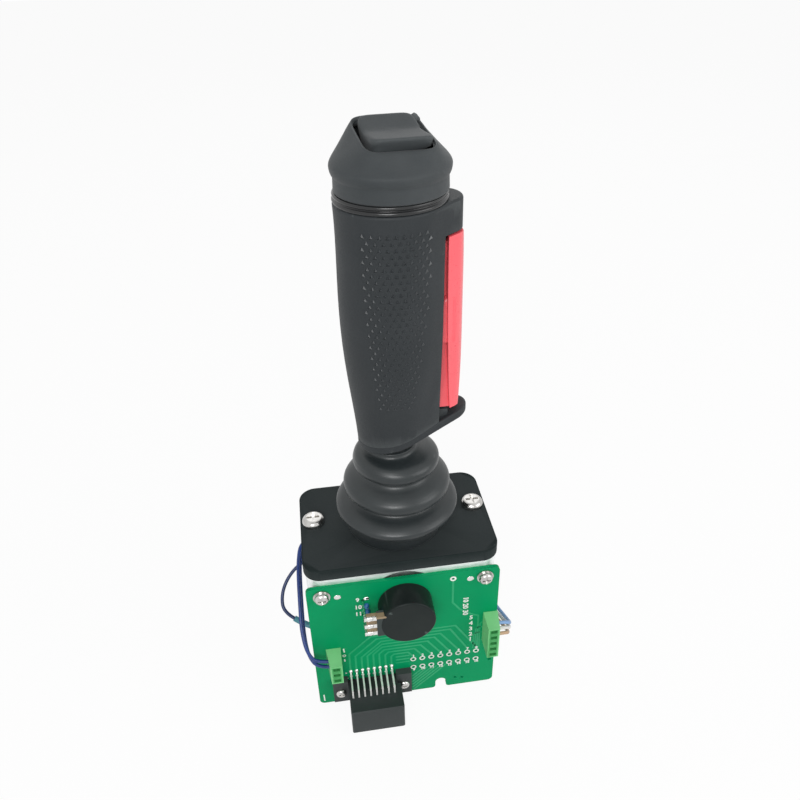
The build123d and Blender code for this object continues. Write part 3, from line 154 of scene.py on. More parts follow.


# Each edge colour is a painted highlight that surface() puts on sharp convex edges.
FINISHES = {
    "plate_black": dict(
        colour=(0.009, 0.0150, 0.0150), second=(0.014, 0.0205, 0.0205), blotch=0.012,
        rough=(0.6, 0.78), grain=0.0007, depth=0.00005, specular=0.12,
        edge=(0.035, 0.042, 0.043)),
    "frame_aluminium": dict(
        colour=(0.95, 0.965, 0.965), second=(0.82, 0.84, 0.84), blotch=0.005,
        rough=(0.34, 0.6), metallic=0.7, grain=0.0009, depth=0.00006, stretch=(0.25, 1, 1.4)),
    "boot_rubber": dict(
        colour=(0.013, 0.0175, 0.019), second=(0.019, 0.0245, 0.026), blotch=0.009,
        rough=(0.3, 0.42), grain=0.0005, depth=0.000015,
        edge=(0.04, 0.046, 0.048), sheen=0.03),
    "bush_bronze": dict(
        colour=(0.62, 0.42, 0.2), second=(0.5, 0.33, 0.16), rough=(0.25, 0.45), metallic=1.0),
    "steel": dict(
        colour=(0.56, 0.57, 0.58), second=(0.42, 0.43, 0.44), rough=(0.2, 0.38), metallic=1.0,
        stretch=(1, 0.2, 1)),
    "screw_nickel": dict(
        colour=(0.64, 0.63, 0.61), second=(0.46, 0.45, 0.43), blotch=0.002,
        rough=(0.12, 0.26), metallic=1.0, grain=0.0004),
    "spring_steel": dict(
        colour=(0.36, 0.37, 0.38), rough=(0.25, 0.4), metallic=1.0),
    "board_green": dict(
        colour=(0.0, 0.275, 0.10), second=(0.0, 0.24, 0.09), blotch=0.02,
        rough=(0.4, 0.52), grain=0.0008, depth=0.00001, specular=0.08),
    "pot_black": dict(
        colour=(0.010, 0.0145, 0.014), second=(0.014, 0.019, 0.018), rough=(0.3, 0.42),
        grain=0.0004, depth=0.00001, specular=0.12, edge=(0.06, 0.075, 0.072)),
    "tin": dict(
        colour=(0.86, 0.86, 0.84), second=(0.7, 0.7, 0.68), blotch=0.0015, rough=(0.15, 0.32),
        metallic=1.0, grain=0.0003),
    "capacitor_blue": dict(
        colour=(0.03, 0.17, 0.40), second=(0.02, 0.12, 0.32), rough=(0.2, 0.3)),
    "terminal_green": dict(
        colour=(0.052, 0.325, 0.09), second=(0.042, 0.285, 0.08), blotch=0.004,
        rough=(0.36, 0.5), grain=0.0004, specular=0.25, edge=(0.24, 0.66, 0.28)),
    "header_black": dict(
        colour=(0.010, 0.014, 0.0145), second=(0.016, 0.020, 0.021), blotch=0.005,
        rough=(0.42, 0.56), grain=0.0004, specular=0.2, edge=(0.045, 0.052, 0.052)),
    "switch_black": dict(
        colour=(0.02, 0.02, 0.022), rough=(0.4, 0.55)),
    "plunger_white": dict(
        colour=(0.7, 0.7, 0.64), rough=(0.35, 0.45)),
    "wire_blue": dict(
        colour=(0.010, 0.040, 0.20), second=(0.008, 0.030, 0.15), blotch=0.004,
        rough=(0.32, 0.44), grain=0.0005),
    "wire_dark": dict(
        colour=(0.010, 0.028, 0.11), rough=(0.34, 0.46), grain=0.0005),
    "sleeve_teal": dict(
        colour=(0.07, 0.25, 0.31), second=(0.05, 0.20, 0.25), blotch=0.003,
        rough=(0.45, 0.6)),
    "wire_light_blue": dict(
        colour=(0.20, 0.36, 0.62), rough=(0.32, 0.44), grain=0.0005),
    "wire_white": dict(
        colour=(0.70, 0.69, 0.65), rough=(0.32, 0.44), grain=0.0005),
    "wire_tan": dict(
        colour=(0.50, 0.33, 0.20), rough=(0.32, 0.44), grain=0.0005),
    "grip_black": dict(
        colour=(0.019, 0.023, 0.0255), second=(0.025, 0.029, 0.032), blotch=0.02,
        rough=(0.5, 0.64), grain=0.0005, depth=0.00003, strength=0.6, specular=0.3,
        edge=(0.055, 0.062, 0.064)),
    # The grip's plastic, glossier, and painted a little paler than grip_black as a painted
    # highlight for the glints on its facets.
    "knurl_black": dict(
        colour=(0.030, 0.034, 0.038), second=(0.036, 0.041, 0.045), rough=(0.26, 0.36),
        grain=0.0005, depth=0.00001, specular=0.7),
    "trigger_red": dict(
        colour=(0.93, 0.11, 0.135), second=(0.86, 0.095, 0.118), blotch=0.012,
        rough=(0.26, 0.36), grain=0.0006, depth=0.000006, coat=0.15),
    "ring_black": dict(
        colour=(0.012, 0.013, 0.014), rough=(0.16, 0.26), grain=0.0006, depth=0.000005),
    "cap_rubber": dict(
        colour=(0.036, 0.042, 0.045), second=(0.046, 0.052, 0.055), blotch=0.012,
        rough=(0.55, 0.7), grain=0.0004, depth=0.00002, specular=0.3,
        edge=(0.075, 0.083, 0.086), sheen=0.06),
    "phenolic_tan": dict(
        colour=(0.29, 0.215, 0.125), second=(0.24, 0.175, 0.10), blotch=0.002, rough=(0.5, 0.65)),
    "silk_white": dict(
        colour=(0.80, 0.82, 0.78), rough=(0.5, 0.65)),
    "pin_tin": dict(
        colour=(0.93, 0.93, 0.90), second=(0.84, 0.84, 0.81), blotch=0.0015, rough=(0.25, 0.4),
        metallic=0.3, grain=0.0003),
    "trace_green": dict(
        colour=(0.010, 0.345, 0.14), second=(0.008, 0.31, 0.125), blotch=0.004,
        rough=(0.3, 0.4), grain=0.0006, specular=0.3),
}

looks = {name: surface(name, **finish) for name, finish in FINISHES.items()}

slots = {part["node"]: part["material_slot"] for part in frame["record"]["subparts"]}
for name, node in nodes.items():
    node.data.materials.clear()
    node.data.materials.append(looks[slots[name]])
nodes["header_pins"].data.materials[0] = looks["pin_tin"]
nodes["grip_base_plate"].data.materials[0] = looks["grip_black"]


# Helpers that build pieces

def add_piece(name, mesh, look, body, stands_for=(), smooth=True):
    """Object of a mesh that rides on a body and may stand for CAD nodes."""
    for polygon in mesh.polygons:
        polygon.use_smooth = smooth
    made = bpy.data.objects.new(name, mesh)
    bpy.context.scene.collection.objects.link(made)
    mesh.materials.append(looks[look])
    if body:
        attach(made, body)
    if stands_for:
        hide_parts(*stands_for)
    return made


def mesh_from(name, points, faces):
    """Mesh whose faces all look outward."""
    made = bpy.data.meshes.new(name)
    made.from_pydata([tuple(point) for point in points], [], faces)
    made.validate()
    work = bmesh.new()
    work.from_mesh(made)
    bmesh.ops.recalc_face_normals(work, faces=work.faces)
    work.to_mesh(made)
    work.free()
    return made


def rings_mesh(name, rings, closed=True):
    """Skin over rings that all have the same number of points, with both ends closed or open."""
    count = len(rings[0])
    points = [point for ring in rings for point in ring]
    faces = []
    for level in range(len(rings) - 1):
        low = level * count
        high = low + count
        for step in range(count):
            after = (step + 1) % count
            faces.append((low + step, low + after, high + after, high + step))
    if closed:
        faces.append(tuple(range(count))[::-1])
        faces.append(tuple(range((len(rings) - 1) * count, len(rings) * count)))
    return mesh_from(name, points, faces)


def lathe(name, profile, centre=(0, 0), steps=96, lean=None):
    """Closed outline in radius and height, in millimetres, turned about Z."""
    count = len(profile)
    points = []
    faces = []
    for step in range(steps):
        angle = 2 * math.pi * step / steps
        for radius, height in profile:
            shift = lean(height) if lean else 0
            points.append(Vector((centre[0] + shift + radius * math.cos(angle),
                                  centre[1] + radius * math.sin(angle), height)) * MM)
        after = (step + 1) % steps
        for index in range(count):
            other = (index + 1) % count
            faces.append((step * count + index, step * count + other,
                          after * count + other, after * count + index))
    return mesh_from(name, points, faces)


def arc(start, middle, end, count):
    """Points on the circle through three points, from start to end."""
    (ax, ay), (bx, by), (cx, cy) = start, middle, end
    d = 2 * (ax * (by - cy) + bx * (cy - ay) + cx * (ay - by))
    a2, b2, c2 = ax * ax + ay * ay, bx * bx + by * by, cx * cx + cy * cy
    ux = (a2 * (by - cy) + b2 * (cy - ay) + c2 * (ay - by)) / d
    uy = (a2 * (cx - bx) + b2 * (ax - cx) + c2 * (bx - ax)) / d
    radius = math.hypot(ax - ux, ay - uy)
    first = math.atan2(ay - uy, ax - ux)
    sweep = math.atan2(cy - uy, cx - ux) - first
    through = math.atan2(by - uy, bx - ux) - first
    sweep = (sweep + math.pi) % (2 * math.pi) - math.pi
    through = (through + math.pi) % (2 * math.pi) - math.pi
    if sweep * through < 0:
        sweep -= math.copysign(2 * math.pi, sweep)
    return [(ux + radius * math.cos(first + sweep * step / count),
             uy + radius * math.sin(first + sweep * step / count)) for step in range(count + 1)]


def rounded(points, rounds):
    """Corner cutting, which turns each corner into a small soft edge."""
    for _ in range(rounds):
        cut = []
        total = len(points)
        for index in range(total):
            here = points[index]
            after = points[(index + 1) % total]
            cut.append(tuple(0.75 * a + 0.25 * b for a, b in zip(here, after)))
            cut.append(tuple(0.25 * a + 0.75 * b for a, b in zip(here, after)))
        points = cut
    return points


# Cords: each repeats its route from the part's source

def wire_curve(name, route, radius, look):
    """Round lead along a smooth curve through the route's control points."""
    data = bpy.data.curves.new(name, "CURVE")
    data.dimensions = "3D"
    spline = data.splines.new("NURBS")
    spline.points.add(len(route) - 1)
    for point, place in zip(spline.points, route):
        point.co = (*place, 1)
    spline.order_u = 3
    spline.use_endpoint_u = True
    data.resolution_u = 8
    data.bevel_depth = radius
    data.bevel_resolution = 5
    data.use_fill_caps = True
    made = bpy.data.objects.new(name, data)
    bpy.context.scene.collection.objects.link(made)
    data.materials.append(looks[look])
    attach(made, "base")
    return made


WIRE_RADIUS = 0.00075
SLEEVE_RADIUS = 0.0013
blue_wire_a_route = (
    (-0.0285, 0.0118, -0.0165), (-0.0345, 0.0118, -0.0165), (-0.0403, 0.0085, -0.0162),
    (-0.0418, 0.0005, -0.0182), (-0.0422, -0.008, -0.0215), (-0.0424, -0.016, -0.027),
    (-0.0427, -0.0235, -0.0345), (-0.0412, -0.0292, -0.0416), (-0.0376, -0.0304, -0.04695),
    (-0.03, -0.0304, -0.04695),
)
blue_wire_b_route = (
    (-0.0285, 0.0118, -0.0225), (-0.0346, 0.0118, -0.0225), (-0.0402, 0.0088, -0.0196),
    (-0.0412, 0.001, -0.0202), (-0.0415, -0.0074, -0.0232), (-0.0417, -0.0154, -0.0286),
    (-0.0419, -0.0227, -0.0363), (-0.041, -0.0284, -0.0442), (-0.0372, -0.0304, -0.05045),
    (-0.03, -0.0304, -0.05045),
)
dark_wire_route = (
    (-0.0285, 0.0118, -0.0285), (-0.0355, 0.0118, -0.0285), (-0.0428, 0.0098, -0.0303),
    (-0.0484, 0.0056, -0.0344), (-0.0512, 0.0012, -0.0396), (-0.0508, -0.00335, -0.04474),
    (-0.0464, -0.005, -0.0476),
)
sleeve_route = (
    (-0.0464, -0.005, -0.0476), (-0.0416, -0.0068, -0.05072), (-0.0354, -0.0088, -0.0516),
    (-0.0304, -0.0132, -0.0516), (-0.0284, -0.0186, -0.0516), (-0.0284, -0.024, -0.0516),
)
light_blue_wire_route = (
    (0.0354, -0.0304, -0.03675), (0.0418, -0.0304, -0.03675), (0.0448, -0.0272, -0.0422),
    (0.0444, -0.02, -0.0462), (0.0408, -0.0132, -0.0442), (0.0384, -0.0058, -0.0374),
    (0.038, 0.002, -0.029), (0.0384, 0.0086, -0.0204), (0.0342, 0.0118, -0.0165),
    (0.0285, 0.0118, -0.0165),
)
white_wire_route = (
    (0.0354, -0.0304, -0.04025), (0.0419, -0.0304, -0.04025), (0.0449, -0.027, -0.0453),
    (0.0442, -0.0196, -0.049), (0.0402, -0.0128, -0.0472), (0.0378, -0.0052, -0.0414),
    (0.0374, 0.0022, -0.0342), (0.0378, 0.0086, -0.0264), (0.034, 0.0118, -0.0225),
    (0.0285, 0.0118, -0.0225),
)
tan_wire_route = (
    (0.0354, -0.0304, -0.04375), (0.0416, -0.0304, -0.04375), (0.0446, -0.0269, -0.0484),
    (0.0436, -0.0194, -0.0516), (0.0394, -0.0124, -0.0502), (0.0372, -0.0046, -0.0454),
    (0.0368, 0.0028, -0.0394), (0.0374, 0.0086, -0.0322), (0.0338, 0.0118, -0.0285),
    (0.0285, 0.0118, -0.0285),
)
for name, route, look, length in (
    ("blue_wire_a", blue_wire_a_route, "wire_blue", 0.0726),
    ("blue_wire_b", blue_wire_b_route, "wire_blue", 0.0730),
    ("dark_wire", dark_wire_route, "wire_dark", 0.0419),
    ("light_blue_wire", light_blue_wire_route, "wire_light_blue", 0.0724),
    ("white_wire", white_wire_route, "wire_white", 0.0697),
    ("tan_wire", tan_wire_route, "wire_tan", 0.0669),
):
    wire = wire_curve("lead_" + name, route, WIRE_RADIUS, look)
    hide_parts(name)
sleeve = wire_curve("lead_sleeve", sleeve_route, SLEEVE_RADIUS, "sleeve_teal")
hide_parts("wire_sleeve")


# Bellows boot: one smooth rubber skin between plate and lever, with a fixed lean

BOOT_WALL = 1.1
BOOT_LEAN = 1.4
LEAN_FULL_FROM = 16
LEAN_FADES_FROM = 34
LEAN_FADE = 4


def inward(profile, thickness):
    """The profile moved towards its left, which is the boot's inner side."""
    moved = []
    for before, here, after in zip(profile, profile[1:], profile[2:]):
        run, rise = after[0] - before[0], after[1] - before[1]
        length = math.hypot(run, rise)
        moved.append((here[0] - thickness * rise / length, here[1] + thickness * run / length))
    return moved


def bellows():
    """Three lobes, each nearly level on top, round at its rim and cut under below its lip."""
    skin = [(18.2, -0.6), (18.3, 0.1), (19.2, 0.25), (19.7, 0.9), (19.8, 2.2), (20.5, 4.8),
            (21.6, 7.4), (22.6, 9.0)]
    skin += arc((23.3, 9.6), (24.5, 11.0), (23.9, 13.0), 8)
    skin += [(22.6, 14.1), (20.6, 14.9), (18.8, 15.6), (17.4, 16.6), (17.5, 17.7), (18.6, 18.4),
             (19.5, 18.7)]
    skin += arc((20.2, 19.1), (21.2, 21.6), (20.1, 24.3), 10)
    skin += [(18.7, 25.5), (16.9, 26.4), (15.3, 27.2), (14.1, 28.3), (14.1, 29.2), (14.8, 29.9),
             (15.5, 30.2)]
    skin += arc((16.1, 30.6), (16.9, 33.0), (15.9, 35.4), 10)
    skin += [(14.5, 36.6), (12.5, 37.3), (10.7, 37.7), (9.4, 38.4), (9.0, 39.4)]
    collar = [(9.0, 40.2), (6.3, 40.2), (6.3, 38.6)]
    flange = [(16.9, -5.0), (21.4, -5.0), (21.4, -3.6), (18.2, -3.6)]
    return rounded(skin + collar + inward(skin, BOOT_WALL)[3:-3][::-1] + flange, 2)


def boot_lean(height):
    """The lobes stand a little towards the trigger, as in the photograph."""
    up = min(1, max(0, height / LEAN_FULL_FROM))
    down = min(1, max(0, (height - LEAN_FADES_FROM) / LEAN_FADE))
    return BOOT_LEAN * up * up * (3 - 2 * up) * (1 - down * down * (3 - 2 * down))


boot = add_piece("boot_skin", lathe("boot_skin", bellows(), lean=boot_lean), "boot_rubber", None,
                 ["bellows_boot"])
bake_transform(boot)


# Bezel: glossy ring of two beads with a groove between them

BEZEL_CENTRE = (2.4, 0)
BEZEL_STEPS = 128
bezel_profile = (
    [(16.5, 135.0), (18.0, 135.0)] + arc((18.3, 135.1), (18.55, 135.65), (18.2, 136.2), 8)
    + [(17.75, 136.45), (17.75, 136.6)] + arc((18.0, 136.75), (18.4, 137.3), (18.0, 137.9), 8)
    + [(17.6, 138.0), (16.5, 138.0)]
)
add_piece("bezel_beads", lathe("bezel_beads", bezel_profile, BEZEL_CENTRE, BEZEL_STEPS),
          "ring_black", "lever", ["bezel_ring"])


# Cap: round at its foot, squarish at its slanted top, and turned a little to the left

CAP_X = 2.8
CAP_TURN = math.radians(6)
FRONT_SQUARE = 0.6
FRONT_SLIDE = 0.065
SLIDE_FROM = 10
CAP_ANGLES = 96
CAP_TAPER = 0.002
CAP_WALL = 1.0
WAIST_RADIUS = 19.1
WAIST_HEIGHT = 145.8
RIM_HEIGHT = 154.3
RIM_BACK_SLOPE = 0.25
RIM_FRONT_SLOPE = 0.22
RIM_HALF_X = 11.2
RIM_HALF_Y = 12.4
RIM_POWER = 2
OPENING_POWER = 2.5
OPENING_INSET_X = 0.8
OPENING_INSET_Y = 1.65
OPENING_SHIFT_X = 0.3
OPENING_SHIFT_Y = 0.45


def squared(share, half_x, half_y, power):
    """Level outline between the waist's circle at share 0 and a rounded rectangle at share 1."""
    a = WAIST_RADIUS + (half_x - WAIST_RADIUS) * share
    b = WAIST_RADIUS + (half_y - WAIST_RADIUS) * share
    n = 2 + power * share**2
    points = []
    for step in range(CAP_ANGLES):
        angle = 2 * math.pi * step / CAP_ANGLES
        c, s = math.cos(angle), math.sin(angle)
        reach = (abs(c / a)**n + abs(s / b)**n)**(-1 / n)
        x, y = reach * c, reach * s
        points.append((x * (1 - CAP_TAPER * share * y), y))
    return points


def turned(x, y, z, share=1.0):
    """Place on the turned cap; towards the top its front slides right and squares up."""
    c, s = math.cos(CAP_TURN), math.sin(CAP_TURN)
    slide = FRONT_SLIDE * share * (SLIDE_FROM - y)
    square = 1 - FRONT_SQUARE * share
    return Vector((CAP_X + x * c - y * s + slide, x * s * square + y * c, z)) * MM


def cap_top(y):
    """Height of the rim, which rises from front to back."""
    return RIM_HEIGHT + (RIM_BACK_SLOPE if y > 0 else RIM_FRONT_SLOPE) * y


def cap_skin():
    """Foot, crease and waist, then the sloping sides, then the lip that turns into the opening."""
    rings = []
    for radius, height in ((16.6, 138.0), (17.9, 138.0), (18.15, 138.2), (18.25, 138.6),
                           (18.2, 140.2), (18.15, 141.8), (18.15, 142.6), (18.25, 142.95),
                           (18.6, 143.4), (18.9, 144.2), (19.05, 145.0), (19.1, 145.8)):
        rings.append([turned(x * radius / WAIST_RADIUS, y * radius / WAIST_RADIUS, height, 0)
                      for x, y in squared(0, RIM_HALF_X, RIM_HALF_Y, RIM_POWER)])
    for rise, share in ((0.06, 0.012), (0.12, 0.04), (0.2, 0.1), (0.3, 0.195), (0.45, 0.365),
                        (0.6, 0.54), (0.8, 0.77), (0.9, 0.89), (0.965, 0.96)):
        rings.append([turned(x, y, WAIST_HEIGHT + (cap_top(y) - WAIST_HEIGHT) * rise, share)
                      for x, y in squared(share, RIM_HALF_X, RIM_HALF_Y, RIM_POWER)])
    for inner, drop in ((0.02, 0.12), (0.15, -0.05), (0.35, -0.1), (0.6, -0.06), (0.82, 0.06),
                        (0.95, 0.28), (1.0, 0.7), (1.0, 1.4), (1.0, 2.1)):
        outline = squared(1, RIM_HALF_X - OPENING_INSET_X * inner,
                          RIM_HALF_Y - OPENING_INSET_Y * inner, RIM_POWER + OPENING_POWER * inner)
        rings.append([turned(x + OPENING_SHIFT_X * inner, y + OPENING_SHIFT_Y * inner,
                             cap_top(y) - drop) for x, y in outline])
    return rings_mesh("cap_skin", rings, False)


cap = add_piece("cap_skin", cap_skin(), "cap_rubber", "lever", ["cap_boot"])
thick = cap.modifiers.new("thickness", "SOLIDIFY")
thick.thickness = CAP_WALL * MM
thick.offset = -1


# Thumb pad

PAD_SHIFT = 0.5
PAD_POWER = 6
PAD_FOOT = 150.6
PAD_SIDE_FOOT = 150.9
PAD_VALLEY = 154.95
PAD_BACK_SLOPE = 0.44
PAD_FRONT_SLOPE = 0.035
BACK_FROM = 1.4
FRONT_FROM = 0.6
SOFTNESS = 1.5


def soft_ramp(distance):
    """0 below the start, then as large as the distance from it, with a soft bend between."""
    return 0.5 * (distance + math.sqrt(distance**2 + SOFTNESS))


def pad_top(y):
    """Top of the thumb pad: nearly level in front, a soft valley, then rising to the back."""
    return (PAD_VALLEY + PAD_BACK_SLOPE * soft_ramp(y - BACK_FROM)
            + PAD_FRONT_SLOPE * soft_ramp(FRONT_FROM - y))


def pad_skin():
    """Pad whose front leans out above the rim; its two lowest rows fit between the posts."""
    rows = (
        (7.8, 9.2, 8.9, 5.0), (7.9, 9.3, 8.9, 5.0), (8.95, 9.5, 8.9, 3.2), (9.2, 9.9, 9.0, 2.0),
        (9.25, 10.3, 9.0, 1.2), (9.1, 10.4, 9.0, 0.6), (8.8, 10.3, 8.95, 0.2),
        (8.4, 9.9, 8.8, 0.04), (7.8, 9.3, 8.3, 0.0), (7.0, 8.3, 7.5, 0.0), (6.0, 7.2, 6.5, 0.0),
        (5.0, 6.0, 5.5, 0.0), (3.8, 4.6, 4.2, 0.0), (2.5, 3.2, 2.9, 0.0), (1.2, 1.7, 1.5, 0.0),
    )
    rings = []
    for level, (half_x, front, back, drop) in enumerate(rows):
        share = 1 if level > 1 else 0
        outline = []
        for x, y in squared(1, half_x, (front + back) / 2, PAD_POWER):
            y += (back - front) / 2
            z = max(PAD_SIDE_FOOT, pad_top(y) - drop) if level else PAD_FOOT
            outline.append(turned(x + PAD_SHIFT * share, y, z, share))
        rings.append(outline)
    return rings_mesh("pad_skin", rings)


add_piece("pad_skin", pad_skin(), "cap_rubber", "rocker", ["rocker_pad"])


# Knurl: rows of small pyramids that stand on the grip's front

KNURL_TOP = 128.4
KNURL_FOOT = 64.5
KNURL_LEFT = -8.4
KNURL_RIGHT = 13.9
ROW_STEP = 2.1
PITCH = 2.5
PYRAMID_HALF_WIDTH = 0.84
PYRAMID_HEIGHT = 0.74
PYRAMID_SINK = 0.08
FRONT_ENOUGH = -0.25
RAY_START = -60


def knurl():
    """Pyramids where a ray from the front meets the grip, smaller towards the foot."""
    grip = nodes["grip_shell"].data
    tree = BVHTree.FromPolygons([vertex.co for vertex in grip.vertices],
                                [tuple(polygon.vertices) for polygon in grip.polygons])
    points = []
    faces = []
    for row in range(int((KNURL_TOP - KNURL_FOOT) / ROW_STEP) + 1):
        height = KNURL_TOP - row * ROW_STEP
        share = (KNURL_TOP - height) / (KNURL_TOP - KNURL_FOOT)
        left = KNURL_LEFT - 3.0 * share * (1 - share) + 3.4 * share**1.6
        right = KNURL_RIGHT - 7.6 * share**1.5
        x = left + (PITCH / 2 if row % 2 else 0)
        while x <= right:
            start = Vector((x, RAY_START, height)) * MM
            hit, normal, _, _ = tree.ray_cast(start, Vector((0, 1, 0)))
            if hit is not None and normal.y < FRONT_ENOUGH:
                size = PYRAMID_HALF_WIDTH * (1 - 0.2 * share)
                tall = PYRAMID_HEIGHT * (1 - 0.3 * share)
                side = normal.cross(Vector((0, 0, 1))).normalized()
                up = side.cross(normal).normalized()
                base = len(points)
                for dx, dz in ((-1, -0.75), (1, -0.75), (0, 1.15)):
                    points.append(hit + (side * dx + up * dz) * size * MM
                                  - normal * PYRAMID_SINK * MM)
                points.append(hit + normal * tall * MM + up * 0.15 * size * MM)
                faces += [(base, base + 1, base + 3), (base + 1, base + 2, base + 3),
                          (base + 2, base, base + 3), (base, base + 2, base + 1)]
            x += PITCH
    return mesh_from("grip_knurl", points, faces)


add_piece("grip_knurl", knurl(), "knurl_black", "lever", smooth=False)


# Board details: traces, rings, marks and solder on the front face

BOARD_FRONT = -25.6
SHARPEST_TURN = 0.35


def on_board(x, z, rise=0.0):
    """Place on the board's front, or in front of it by the rise."""
    return Vector((x, BOARD_FRONT - rise, z)) * MM


def strip(points, width, rise, work):
    """Flat raised line through points on the board's front, in millimetres."""
    half = width / 2
    corners = [Vector(point) for point in points]
    offsets = []
    for index, point in enumerate(corners):
        before = (point - corners[index - 1]).normalized() if index else None
        after = (corners[index + 1] - point).normalized() if index + 1 < len(corners) else None
        run = (before or after) + (after or before)
        run.normalize()
        side = Vector((-run.y, run.x))
        edge = after or before
        turn = abs(side.dot(Vector((-edge.y, edge.x))))
        offsets.append(side * half / max(SHARPEST_TURN, turn))
    rows = []
    for point, offset in zip(corners, offsets):
        a, b = point + offset, point - offset
        rows.append([work.verts.new(on_board(a.x, a.y)), work.verts.new(on_board(a.x, a.y, rise)),
                     work.verts.new(on_board(b.x, b.y, rise)), work.verts.new(on_board(b.x, b.y))])
    for first, second in zip(rows, rows[1:]):
        for i in range(3):
            work.faces.new((first[i], first[i + 1], second[i + 1], second[i]))
    work.faces.new(rows[0])
    work.faces.new(rows[-1][::-1])


def ring(x, z, inner, outer, rise, work, steps=20):
    """Flat raised ring on the board's front."""
    rows = []
    for step in range(steps):
        angle = 2 * math.pi * step / steps
        c, s = math.cos(angle), math.sin(angle)
        rows.append([work.verts.new(on_board(x + inner * c, z + inner * s)),
                     work.verts.new(on_board(x + inner * c, z + inner * s, rise)),
                     work.verts.new(on_board(x + outer * c, z + outer * s, rise)),
                     work.verts.new(on_board(x + outer * c, z + outer * s))])
    for index in range(steps):
        first, second = rows[index], rows[(index + 1) % steps]
        for i in range(3):
            work.faces.new((first[i], first[i + 1], second[i + 1], second[i]))


def dome(x, z, radius, tall, work, squash=1.0, lift=0.0):
    """Bead of solder or paint on the board, or lifted to a face in front of it."""
    steps = 14
    levels = ((1.0, 0.0), (0.93, 0.35), (0.72, 0.68), (0.4, 0.92))
    rows = []
    for grow, rise in levels:
        rows.append([work.verts.new(on_board(
            x + radius * grow * math.cos(2 * math.pi * i / steps),
            z + radius * squash * grow * math.sin(2 * math.pi * i / steps), lift + tall * rise))
            for i in range(steps)])
    tip = work.verts.new(on_board(x, z, lift + tall))
    for first, second in zip(rows, rows[1:]):
        for i in range(steps):
            after = (i + 1) % steps
            work.faces.new((first[i], first[after], second[after], second[i]))
    for i in range(steps):
        work.faces.new((rows[-1][i], rows[-1][(i + 1) % steps], tip))


def finish_mesh(name, work):
    """Mesh of what has been drawn in the working mesh, which is freed."""
    bmesh.ops.recalc_face_normals(work, faces=work.faces)
    made = bpy.data.meshes.new(name)
    work.to_mesh(made)
    work.free()
    return made


COLUMNS = 8
PIN_PITCH = 2.54
PAD_PITCH = 3.96
PIN_X = [-24.3 + PIN_PITCH * column for column in range(COLUMNS)]
PAD_X = [3.0 + PAD_PITCH * column for column in range(COLUMNS)]
UPPER_PINS = -61.9
LOWER_PINS = -65.24
UPPER_PADS = -59.3
LOWER_PADS = -64.7
TEST_PAD = (19.8, -12.4)
RIGHT_TAIL_X = 36.1
RIGHT_TAILS = (-36.75, -40.25, -43.75, -47.25, -50.75)
PIVOT_Z = -22.5
LUG_HEIGHTS = (-18.3, PIVOT_Z, -26.7)
LUG_FACE = 9.85
TRACE_WIDTH = 0.8
NARROW_TRACE = 0.5
TRACE_RISE = 0.05
TOP_LINE = -40.9
LINE_STEP = 1.9
LOWEST_TRACE = -80.4
PAD_RISE = 0.08
MARK_WIDTH = 0.55


def header_traces(work):
    """One line from each upper pin, up, across under the potentiometer and down to its pad."""
    climbs = (9.4, 9.3, 8.7, 6.4, 4.0, 2.3, 1.5, 1.2)
    turns = (21.2, 19.0, 14.8, 12.2, 9.3, 6.2, 3.6, 0.8)
    for index, (pin, climb, turn) in enumerate(zip(PIN_X, climbs, turns)):
        level = TOP_LINE - LINE_STEP * index
        pad = PAD_X[-1 - index]
        strip([(pin, UPPER_PINS - 0.3), (pin, level - climb), (pin + climb, level), (turn, level),
               (pad, UPPER_PADS + 2.6 - 0.1 * index), (pad, UPPER_PADS + 1.0)],
              TRACE_WIDTH, TRACE_RISE, work)
    for level in (-56.3, -58.3, -60.3):
        strip([(-4.6, level), (1.4, level)], TRACE_WIDTH, TRACE_RISE, work)


def slanting_traces(work):
    """Lines from the lower pads down to the header's right ear."""
    for index in range(6):
        reach = 73.4 + PAD_PITCH / 2 * index
        end = max(2.4, reach + LOWEST_TRACE)
        strip([(reach - 66.2, -65.8), (reach - 67.4, -67.4), (end, end - reach)],
              TRACE_WIDTH, TRACE_RISE, work)


def right_traces(work):
    """The line down from the test pad, and three from the right block's tails."""
    strip([TEST_PAD, (TEST_PAD[0], -26.4), (22.9, -31.0), (28.6, -35.4), (31.0, -36.4),
           (31.0, -57.0)], TRACE_WIDTH, TRACE_RISE, work)
    for x, start in zip((31.9, 30.1, 29.2), RIGHT_TAILS[1:]):
        strip([(RIGHT_TAIL_X, start), (x + 1.2, start), (x, start - 1.4), (x, -57.4)],
              NARROW_TRACE, TRACE_RISE, work)


work = bmesh.new()
header_traces(work)
slanting_traces(work)
right_traces(work)
add_piece("board_traces", finish_mesh("board_traces", work), "trace_green", "base",
          smooth=False)

work = bmesh.new()
for z in (UPPER_PADS, LOWER_PADS):
    for x in PAD_X:
        ring(x, z, 0.78, 1.3, PAD_RISE, work)
ring(*TEST_PAD, 0.6, 1.3, PAD_RISE, work)
for points in (
    [(-36.95, -75.4), (-36.85, -79.7)], [(-26.4, -46.2), (-26.2, -48.6)],
    [(-26.4, -53.0), (-26.3, -54.6)], [(-26.6, -62.5), (-26.0, -62.5)],
    [(-26.0, -66.2), (-25.5, -66.2)],
):
    strip(points, MARK_WIDTH, TRACE_RISE, work)
ring(-26.4, -50.8, 0.4, 0.8, TRACE_RISE, work, 12)
add_piece("board_marks", finish_mesh("board_marks", work), "silk_white", "base",
          smooth=False)

work = bmesh.new()
for x in PIN_X:
    dome(x, UPPER_PINS, 0.85, 0.75, work, squash=1.35)
    dome(x, LOWER_PINS, 0.8, 0.6, work)
for x, z in ((-26.7, -14.7), (26.9, -13.7)):
    dome(x, z, 1.45, 0.25, work, squash=0.9)
dome(-15.4, -17.5, 1.15, 0.35, work, squash=0.8)
for z in RIGHT_TAILS:
    dome(RIGHT_TAIL_X, z, 0.9, 0.4, work)
add_piece("board_solder", finish_mesh("board_solder", work), "tin", "base")

